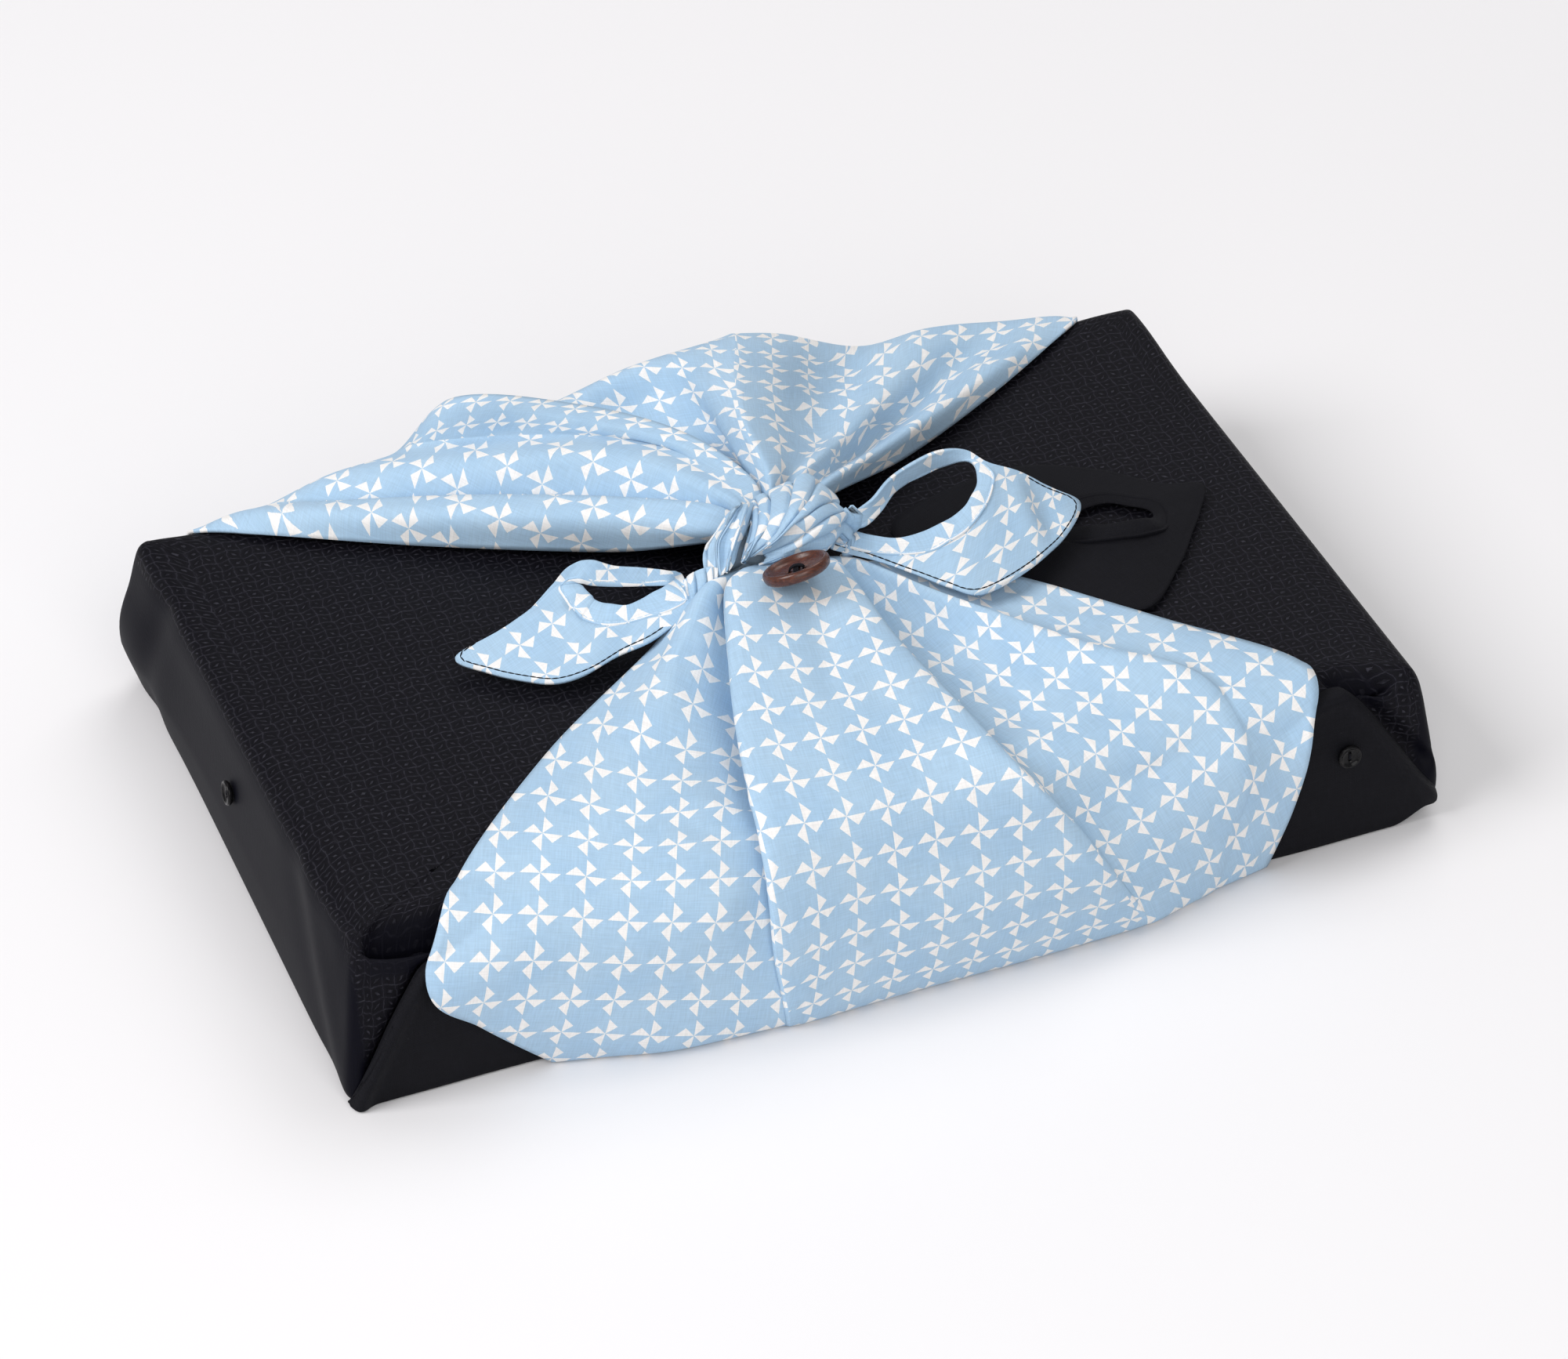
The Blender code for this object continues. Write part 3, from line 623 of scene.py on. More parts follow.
# Turns and shifts the flat cloth so that the print's repeats meet two or more places.
def turnedPrint(flat, grid, pins):
    points = grid.reshape(-1, 3)
    spots = np.array([flat.reshape(-1, 2)[np.argmin(np.linalg.norm(points - np.array(p) * mm, axis=1))]
                      for p, _ in pins])
    wanted = np.array([repeat for _, repeat in pins], float) * printed["pitch"]
    a = spots - spots.mean(0)
    b = wanted - wanted.mean(0)
    turn = math.atan2((a[:, 0] * b[:, 1] - a[:, 1] * b[:, 0]).sum(), (a * b).sum())
    c, s = math.cos(turn), math.sin(turn)
    return (flat - spots.mean(0)) @ np.array(((c, s), (-s, c))) + wanted.mean(0)


def spline(away):
    return away ** 2 * np.log(np.maximum(away, 1e-9))


# Lays the print so that its repeats fall where the camera sees them on the grid.
# Each row of the chart is a repeat upwards, then (repeat across, picture column, picture row).
def seenPrint(name, flat, grid, chart, stiffness, closed=False):
    faces = gridFaces(*grid.shape[:2], closed)
    tree = BVHTree.FromPolygons([Vector(p) for p in grid.reshape(-1, 3)], faces)
    points, laid = grid.reshape(-1, 3), flat.reshape(-1, 2)
    spots, wanted = [], []
    for up, *places in chart:
        for across, column, row in places:
            hit, _, number, _ = tree.ray_cast(*lineOfSight(column, row))
            if hit is None:
                print(name, "has no cloth at repeat", across, up)
                continue
            corner, beside, _, along = faces[number]
            edges = np.array((points[beside] - points[corner], points[along] - points[corner])).T
            share = np.linalg.lstsq(edges, np.array(hit) - points[corner], rcond=None)[0]
            spots.append(laid[corner] + share[0] * (laid[beside] - laid[corner])
                         + share[1] * (laid[along] - laid[corner]))
            wanted.append((across, up))
    pitch = printed["pitch"]
    spots, wanted = np.array(spots) / pitch, np.array(wanted, float)
    count = len(spots)
    system = np.zeros((count + 3, count + 3))
    system[:count, :count] = spline(np.linalg.norm(spots[:, None] - spots[None], axis=2))
    system[:count, :count] += np.eye(count) * stiffness
    system[:count, count:] = np.column_stack([np.ones(count), spots])
    system[count:, :count] = system[:count, count:].T
    weights = np.linalg.solve(system, np.concatenate([wanted, np.zeros((3, 2))]))
    places = laid / pitch
    bent = spline(np.linalg.norm(places[:, None] - spots[None], axis=2)) @ weights[:count]
    bent += np.column_stack([np.ones(len(places)), places]) @ weights[count:]
    # away from what is seen, the print goes back to its true size
    one, _, two = np.linalg.svd((spots - spots.mean(0)).T @ (wanted - wanted.mean(0)))
    plain = (places - spots.mean(0)) @ one @ two + wanted.mean(0)
    gap = np.linalg.norm(places[:, None] - spots[None], axis=2).min(1)
    bent += (plain - bent) * risen(gap, *printed["settles"])[:, None]
    return (bent * pitch).reshape(flat.shape)


# The bundle's cloth

body = {
    "length": 450, "width": 282.4, "height": 70.8,
    # how far each ring lies inside the outline, and its height
    "lowerRings": ((7.0, 0.0), (3.0, 0.9), (0.9, 3.6), (0.6, 9.0), (1.2, 22.0), (2.6, 38.0), (4.2, 52.0)),
    # the same upper rings along the walls, where the top's edge is crisp, and in an envelope fold
    "plainRings": ((5.4, 59.0), (6.3, 62.5), (7.3, 65.0), (8.6, 67.2), (10.8, 69.2), (14.5, 70.4),
                   (22.0, 70.8)),
    "crispRings": ((5.0, 60.5), (5.5, 64.0), (6.0, 66.5), (6.9, 68.7), (8.8, 70.1), (12.5, 70.7),
                   (22.0, 70.8)),
    "foldRings": ((4.6, 58.0), (6.2, 60.0), (12.5, 53.0), (14.5, 57.0), (17.0, 63.5), (20.5, 69.0),
                  (25.0, 70.8)),
    "ringSteps": 5,
    "corner": 0.44, "topCorner": 0.85,      # how blunt the corners are at the foot and at the top
    "cornerInset": 12.0,
    "longSteps": 190, "shortSteps": 112, "cornerSteps": 14, "topRows": 46,
    # envelope folds: side, middle, half length, how open
    "pinches": ((-1, -197, 22, 1.0), (-1, 194, 11, 0.9)),
    "crispEnd": {"share": 0.65, "from": 90, "to": 128},
    # a corner that leans in towards its top: place, lean across and back, reach
    "lean": {"at": (-225, -141), "by": (4.5, 7.5), "reach": 21},
    "bulge": {"y": 128, "half": 42, "out": 6.5, "height": 34, "halfHeight": 24},
    "flare": {"y": -138, "half": 34, "out": 2.6, "height": 12, "halfHeight": 26},
    "lift": {"from": (205, -100), "to": (226, -138), "by": 8.0, "upTo": 34},
    "baseDrawIn": 3.0,
    # troughs beside the flap's folded edges: x and z at both ends, depth, width
    "troughs": ((-191, 52, -213, 16, 6.0, 3.8), (187, 70, 217, 26, 6.0, 5.0)),
    # the top's far corners stand a little higher: place, reach both ways, height
    "humps": ((203, 122, 34, 26, 3.6), (-200, 128, 34, 22, 3.4)),
    # folds in the left end: y and z at both ends, height, width
    "endFolds": ((-84, 66, -137, 2, 0.8, 9.5), (-66, 64, -120, 2, -0.6, 11.0), (96, 66, 112, 4, -1.5, 10.0)),
    "topInset": 22,             # where the flat top starts, as in the rings above
    # where the painted shade lies, a darker colour without the woven figure: how far in from the ends and how
    # high it reaches, both faded
    "paintedShadeEnds": {"in": (9.5, 7.0), "up": (68.5, 65.0)},
    "paintedShadeFolds": {"from": (52.0, 55.0), "up": (69.5, 66.5), "out": (139.5, 136.0), "share": 0.85},
    "thickness": 1.2,
    "flat": (0.43, 1.06), "area": 0.39,
}


def bodyInset(z):
    table = (body["lowerRings"] + body["plainRings"])[3:]
    return float(np.interp(z / mm, [h for _, h in table], [i for i, _ in table])) * mm


def bodyOutline(roundness):
    half = (body["length"] / 2 - body["cornerInset"], body["width"] / 2 - body["cornerInset"])
    corners = ((1, 1), (-1, 1), (-1, -1), (1, -1))
    inner, outward = [], []
    for number, (sx, sy) in enumerate(corners):
        for step in range(body["cornerSteps"] + 1):
            turn = math.radians(90 * (number + step / body["cornerSteps"]))
            c, s = math.cos(turn), math.sin(turn)
            inner.append((sx * half[0], sy * half[1]))
            outward.append((math.copysign(abs(c) ** roundness, c), math.copysign(abs(s) ** roundness, s)))
        steps = (body["longSteps"], body["shortSteps"])[number % 2]
        nx, ny = corners[(number + 1) % 4]
        for step in range(1, steps):
            share = step / steps
            inner.append(((sx + (nx - sx) * share) * half[0], (sy + (ny - sy) * share) * half[1]))
            outward.append(outward[-1])
    return np.array(inner), np.array(outward)


# How far the places (a, b) are from the line between two places.
def fromLine(a, b, one, two):
    start, way = np.array(one, float), np.array(two, float) - one
    along = np.clip(((a - start[0]) * way[0] + (b - start[1]) * way[1]) / (way @ way), 0, 1)
    return np.hypot(a - start[0] - along * way[0], b - start[1] - along * way[1])


# The soft forms: a leaning corner, a flared one, the bulging left end, the troughs, the folds in
# the left end, the raised far corners and the lifted front right corner.
def bodyForms(x, y, z):
    dx, dy, dz = np.zeros_like(x), np.zeros_like(y), np.zeros_like(z)
    front = y < -(body["width"] / 2 - body["cornerInset"])
    left = x < -(body["length"] / 2 - body["cornerInset"])
    lean = body["lean"]
    near = np.exp(-((x - lean["at"][0]) ** 2 + (y - lean["at"][1]) ** 2) / lean["reach"] ** 2)
    near *= np.clip(z / 66, 0, 1) ** 2
    dx += lean["by"][0] * near
    dy += lean["by"][1] * near
    for key, sign in (("bulge", -1), ("flare", 1)):
        form = body[key]
        out = (form["out"] * np.exp(-((y - form["y"]) / form["half"]) ** 2)
               * np.exp(-((z - form["height"]) / form["halfHeight"]) ** 2))
        dx += np.where(x * sign > body["length"] / 2 - 60, sign * out * risen(abs(x), 180, 222), 0)
    drawn = body["baseDrawIn"] * np.interp(y, (-120, 100), (0, 1)) * np.interp(z, (0, 25), (1, 0))
    dx += np.where(left, drawn, 0)
    for x1, z1, x2, z2, depth, width in body["troughs"]:
        dy += np.where(front, depth * np.exp(-(fromLine(x, z, (x1, z1), (x2, z2)) / width) ** 2), 0)
    for y1, z1, y2, z2, height, width in body["endFolds"]:
        away = fromLine(y, z, (y1, z1), (y2, z2))
        dx -= np.where(left, height * np.exp(-(away / width) ** 2), 0)
    lift = body["lift"]
    share = risen(x, lift["from"][0], lift["to"][0]) * risen(-y, -lift["from"][1], -lift["to"][1])
    for across, back, wide, deep, height in body["humps"]:
        rise = np.exp(-((x - across) / wide) ** 2 - ((y - back) / deep) ** 2)
        dz += height * rise * risen(z, 50, 68)
    dz += lift["by"] * share * np.clip(1 - z / lift["upTo"], 0, 1)
    return dx, dy, dz


def ringTables():
    return [smoothLine(body["lowerRings"] + body[key], body["ringSteps"])
            for key in ("plainRings", "crispRings", "foldRings")]


def bodyCloth():
    inner, outward = bodyOutline(body["corner"])
    rounded = bodyOutline(body["topCorner"])[1]
    around = len(inner)
    half = np.array((body["length"], body["width"])) / 2
    rings, crisp, folded = ringTables()
    base = inner + outward * body["cornerInset"]
    opened = np.zeros(around)
    for side, middle, reach, share in body["pinches"]:
        there = base[:, 1] * side > half[1] - body["cornerInset"]
        opened += np.where(there, share * np.exp(-((base[:, 0] - middle) / reach) ** 4), 0)
    end = body["crispEnd"]
    sharp = end["share"] + (1 - end["share"]) * risen(base[:, 1], end["from"], end["to"])
    sharp *= risen(-base[:, 0], half[0] - 30, half[0] - 8)
    rows = []
    for plainRing, crispRing, foldRing in zip(rings, crisp, folded):
        inset, height = (plainRing[:, None] + (crispRing - plainRing)[:, None] * sharp
                         + (foldRing - plainRing)[:, None] * opened)
        offset = np.minimum(inset, body["cornerInset"] - 2)
        shrink = (half - inset[:, None]) / (half - offset[:, None])
        blunt = np.clip(height / 68, 0, 1)[:, None] ** 3
        way = outward + (rounded - outward) * blunt
        flat = (inner + way * (body["cornerInset"] - offset)[:, None]) * shrink
        dx, dy, dz = bodyForms(flat[:, 0], flat[:, 1], height)
        rows.append(np.stack([flat[:, 0] + dx, flat[:, 1] + dy, height + dz], axis=1))
    last = rows[-1]
    for share in np.linspace(1, 0.02, body["topRows"])[1:]:
        x, y = last[:, 0] * share, last[:, 1] * share
        height = np.full(around, body["height"])
        rows.append(np.stack([x, y, height + bodyForms(x, y, height)[2]], axis=1))
    grid = np.array(rows) * mm
    # distance round the outline from the middle of each wall, and up from the base
    nextBase = np.roll(base, -1, axis=0)
    length = np.linalg.norm(nextBase - base, axis=1)
    travelled = np.concatenate([[0], np.cumsum(length)[:-1]])
    total = length.sum()
    climb = np.concatenate([[0], np.cumsum(np.linalg.norm(np.diff(rings, axis=0), axis=1))])
    walls = {}
    for key, way, place in (("back", 1, (0, 1)), ("left", 0, (-1, 0)),
                            ("front", 1, (0, -1)), ("right", 0, (1, 0))):
        middle = np.argmin(np.abs(base[:, 1 - way]) - base[:, way] * place[way] * 10)
        walls[key] = (travelled[middle], middle)
    points, faces, corners = grid.reshape(-1, 3), [], []
    topEdge = half - body["topInset"]
    wallTop = len(rings) - 1
    for i in range(len(grid) - 1):
        for j in range(around):
            k = (j + 1) % around
            face = (i * around + j, i * around + k, (i + 1) * around + k, (i + 1) * around + j)
            faces.append(face)
            way = outward[j] + outward[k]
            for row, column in ((i, j), (i, k), (i + 1, k), (i + 1, j)):
                if i >= wallTop:
                    corners.append(points[row * around + column][:2])
                    continue
                drop = (climb[wallTop] - climb[row]) * mm
                onEnd = abs(way[0]) > abs(way[1]) + 1e-6
                key = ("right" if way[0] > 0 else "left") if onEnd else ("back" if way[1] > 0 else "front")
                start, middle = walls[key]
                run = travelled[column] - start
                run = (run + total / 2) % total - total / 2
                if key == "front":
                    corners.append((base[middle][0] * mm + run * mm, -topEdge[1] * mm - drop))
                elif key == "back":
                    corners.append((base[middle][0] * mm - run * mm, topEdge[1] * mm + drop))
                elif key == "left":
                    corners.append((-topEdge[0] * mm - drop, base[middle][1] * mm - run * mm))
                else:
                    corners.append((topEdge[0] * mm + drop, base[middle][1] * mm + run * mm))
    faces.append(tuple(reversed(range(around))))
    corners += [points[v][:2] for v in reversed(range(around))]
    top = (len(grid) - 1) * around
    faces.append(tuple(range(top, top + around)))
    corners += [points[v][:2] for v in range(top, top + around)]
    piece = makePiece("bodyCloth", points, faces, "dobby", cornerUv=np.array(corners))
    # painted shade: both ends and the envelope folds get a darker colour without the woven figure, standing
    # in for how the light falls there
    ends, folds = body["paintedShadeEnds"], body["paintedShadeFolds"]
    x, y, z = np.abs(points[:, 0]) / mm, np.abs(points[:, 1]) / mm, points[:, 2] / mm
    smooth = risen(x, half[0] - ends["in"][0], half[0] - ends["in"][1])
    smooth *= risen(-z, -ends["up"][0], -ends["up"][1])
    fold = np.repeat(np.array([opened]), len(grid), axis=0).ravel()
    fold = fold * risen(z, *folds["from"]) * risen(-z, -folds["up"][0], -folds["up"][1])
    fold = folds["share"] * fold * risen(-y, -folds["out"][0], -folds["out"][1])
    smooth = np.maximum(smooth, fold)
    piece.data.attributes.new("smooth", "FLOAT", "POINT").data.foreach_set("value", smooth.astype(np.float32))
    thicken(piece, body["thickness"] * mm, -1)
    fit(piece, "dobby_cloth", "body_cloth")
    return piece


# Plain flaps

flap = {
    # the upper side of the front one's outline from left to right: its ends are folded edges
    "top": ((-224.2, 2.0), (-221, 9.5), (-215, 20.5), (-206.5, 36), (-200, 46.5), (-193, 56), (-185, 59),
            (-170, 59), (-120, 60), (-60, 62), (0, 64), (60, 65), (120, 66), (165, 67), (180, 69),
            (187, 67), (195, 57.5), (205, 41.5), (214, 27), (220, 18.5), (225.2, 12.0)),
    "backShare": 0.972,         # the back one ends a little nearer to the middle
    "hem": 0.9,
    "lift": (205, 226, 8.6),    # where the right hem leaves the floor, where it ends, and how high
    "clear": 0.8,
    "roll": {"out": 2.6, "at": 2.6, "width": 3.6, "tuck": 2.6, "tuckWidth": 1.0},
    "thickness": 1.3,
    "waviness": (0.038, 0.0008, 3.0),       # length and height in metres, and where it starts
    "steps": 10, "rows": 40,
    "flat": (0.085, 0.455), "area": 0.0275,
}


# How far out the bundle's long walls stand, with their rounded ends.
def wallAt(x, z):
    inset = body["cornerInset"]
    share = np.clip((abs(x) - body["length"] / 2 + inset) / inset, 0, 0.999)
    turn = share ** (1 / body["corner"])
    out = inset * (1 - turn ** 2) ** (body["corner"] / 2)
    return body["width"] / 2 - inset + out - bodyInset(z * mm) / mm


def flapCloth(name, side, node):
    line = smoothLine(flap["top"], flap["steps"])
    reach = 1.0 if side < 0 else flap["backShare"]
    roll = flap["roll"]
    grid = np.zeros((len(line), flap["rows"], 3))
    for i, (x, top) in enumerate(line):
        hemHeight = flap["hem"] + flap["lift"][2] * risen(x, *flap["lift"][:2])
        for j, share in enumerate(np.linspace(0, 1, flap["rows"])):
            z = hemHeight + (max(top, hemHeight + 0.3) - hemHeight) * share
            away = np.hypot(line[:, 0] - x, line[:, 1] - z).min()
            out = (roll["out"] * math.exp(-((away - roll["at"]) / roll["width"]) ** 2)
                   - roll["tuck"] * math.exp(-(away / roll["tuckWidth"]) ** 2))
            y = (wallAt(x * reach, z) + flap["clear"] + flap["thickness"] / 2 + out) * mm
            grid[i, j] = (-side * x * reach * mm, side * y, z * mm)
    grid = uneven(grid, *flap["waviness"])
    piece = makePiece(name, grid, gridFaces(*grid.shape[:2]), "plain", uv=grid[..., (0, 2)])
    thicken(piece, flap["thickness"] * mm)
    fit(piece, "plain_black_cloth", node)
    return piece


# Printed panels

panelRules = {
    "sheet": 1.4,
    "clear": 1.0,
    "tuck": {"y": 144.9, "z": 1.6},
    # the rounded edge that a panel bends over: its middle, its radius, how far before it it rises
    "turn": {"in": 18.5, "down": 13.3, "radius": 17.8, "rise": 16},
    "offFloor": 0.1,
    "acrossStep": 2.4, "alongSteps": 18,
    "rootShare": 0.55,          # how far the gathered end runs on towards the knot's middle
    "crispness": 0.85,
}

frontPanel = {
    "side": -1,
    "flat": (0.40, 0.25), "area": 0.075,
    "gather": (1, 4, 90),
    "crisp": ("left ridge", "right ridge", "soft ridge"),
    "stiffness": 0.05,
    # each rib from the knot to the hem: root, upper, middle, edge, face, low, hem
    "ribs": (
        ("left edge", (-30, -5, 89), (-57, -18, 77.5), (-113, -57, 73.5), (-174, -120, 73.5),
         (-193.2, -145.5, 51), (-174, -145.5, 28), (-147, -146, 2)),
        ("left quarter", (-30, -8, 94), (-54, -26, 83), (-106, -74, 79), (-151, -118, 76.5),
         (-165, -146, 62), (-158, -150, 34), (-127, -151, 2)),
        ("left half", (-29, -10, 96), (-51, -31, 88), (-88, -82, 85), (-117, -120, 80.5),
         (-129, -149, 61), (-129, -156, 33), (-105, -157, 2)),
        ("slope", (-26, -12, 94), (-47, -40, 86), (-65, -85, 83.5), (-77, -125, 81),
         (-81, -153, 64), (-82, -160, 33), (-75, -159.5, 2)),
        ("ridge foot", (-21, -11, 87), (-32, -56, 75), (-42, -99, 73), (-52, -136, 73.5),
         (-57, -150, 60), (-60, -160, 37), (-57, -160.5, 2)),
        ("left fold", (-22, -14, 98), (-40, -61, 95), (-52, -101.5, 90.5), (-60, -140, 81),
         (-62, -157, 63), (-62, -162.5, 39), (-57, -161.5, 2)),
        ("left ridge", (-18, -14.5, 101), (-36, -62, 97.5), (-48, -102, 92.5), (-56, -140.5, 83),
         (-57.5, -157.5, 63), (-57, -163.8, 38), (-52, -162, 2)),
        ("middle one", (-11, -15, 100), (-19, -71, 97), (-23, -113, 91), (-24, -142, 81),
         (-22, -156, 60), (-19, -164, 35), (-11, -161, 2)),
        ("middle two", (2, -16, 99), (4, -75, 95.5), (8, -115, 89.5), (14, -142, 80),
         (24, -156, 55), (32, -165, 33), (46, -161, 2)),
        ("right ridge", (17, -17, 99), (21, -69, 96), (30.5, -113, 91), (39, -143.5, 84),
         (60, -156, 54), (73, -163.8, 29), (86, -160, 2)),
        ("right fold", (21, -17, 98), (25.5, -68, 94.5), (35, -112, 89.5), (44, -146, 82),
         (65, -155, 52), (78, -163, 28), (91, -159.5, 2)),
        ("fold foot", (21, -12, 88), (28, -60, 76), (38, -103, 73.5), (49, -137, 74),
         (66, -151, 50), (80, -161, 27), (94, -159.5, 2)),
        ("right quarter", (30, -12, 87), (50, -44, 77), (73, -90, 75), (92, -124, 74.5),
         (95, -147, 51), (101, -156, 28), (107, -156, 2)),
        ("soft ridge", (32, -10, 90), (58, -39, 86), (97, -85, 83.5), (132, -120, 80),
         (138, -146, 61), (130, -151, 28), (122, -152, 2)),
        ("soft ridge back", (33, -8, 89), (60.5, -36, 82), (99.5, -82, 79.5), (135, -118, 77.5),
         (141, -145, 60), (133, -150, 27), (124, -151, 2)),
        ("right half", (35, -8, 87), (74, -26, 77), (117, -70, 75), (153, -122, 75),
         (155, -143, 57), (148, -148, 25), (134, -149, 2)),
        ("right edge", (37, -6, 85), (82, -18, 77), (136, -71, 73.5), (175.5, -123, 74),
         (167.5, -144, 61), (159.5, -146, 28), (149, -146, 2)),
    ),
    "creases": (
        ((-90, -110, 77), (-50, -130, 84), 1.5, 3.0),
        ((-97, -118, 77), (-62, -140, 82), -1.6, 3.5),
        ((-84, -148, 70), (-60, -156, 80), -2.2, 4.0),
        ((-88, -156, 60), (-63, -160, 66), 1.5, 5.0),
        ((44, -88, 82), (68, -150, 66), -1.8, 6.0),
        ((6, -34, 98), (-12, -96, 92), -2.0, 7.0),
        ((16, -38, 98), (20, -110, 90), 1.0, 8.0),
        ((-28, -10, 90), (-60, -46, 79), -1.6, 3.5),
        ((120, -60, 76), (160, -118, 75), 1.2, 7.0),
    ),
    # which ribs bound each stretch of print, and its repeats
    "print": (
        ("left edge", "left fold", (
            (-2, (2, 661, 1315), (4, 772, 1317), (6, 885, 1320)),
            (0, (0, 568, 1227), (2, 680, 1225), (4, 794, 1229), (7, 950, 1227)),
            (2, (1, 632, 1114), (3, 748, 1119), (5, 862, 1123), (7, 971, 1119)),
            (4, (2, 700, 1017), (4, 811, 1041), (6, 923, 1030)),
            (6, (3, 770, 926), (5, 875, 959), (6, 931, 968)),
            (8, (4, 846, 840), (5, 895, 855)),
            (10, (5, 923, 757)),
        )),
        ("left fold", "right fold", (
            (-2, (9, 1037, 1279), (12, 1190, 1235), (14, 1290, 1210), (16, 1393, 1181)),
            (0, (8, 999, 1227), (10, 1093, 1189), (12, 1204, 1171), (14, 1306, 1141), (16, 1406, 1128)),
            (2, (8, 985, 1124), (10, 1090, 1098), (12, 1194, 1071), (14, 1304, 1051), (15, 1357, 1038)),
            (4, (8, 957, 1007), (10, 1063, 990), (12, 1171, 964), (14, 1279, 938)),
            (6, (9, 979, 906), (11, 1084, 890), (13, 1191, 857)),
            (8, (9, 951, 812), (11, 1050, 811), (12, 1103, 791)),
            (9, (9, 939, 770), (11, 1041, 769), (12, 1087, 754)),
        )),
        ("right fold", "right edge", (
            (-1, (17, 1452, 1145), (19, 1542, 1099), (21, 1613, 1034)),
            (1, (17, 1412, 1075), (19, 1499, 1016), (21, 1574, 948), (23, 1649, 888)),
            (3, (17, 1362, 988), (19, 1431, 935), (21, 1502, 868), (23, 1560, 819)),
            (5, (17, 1286, 920), (19, 1348, 867), (22, 1436, 798)),
            (7, (17, 1201, 847), (19, 1263, 801)),
            (8, (18, 1196, 786)),
        )),
    ),
}

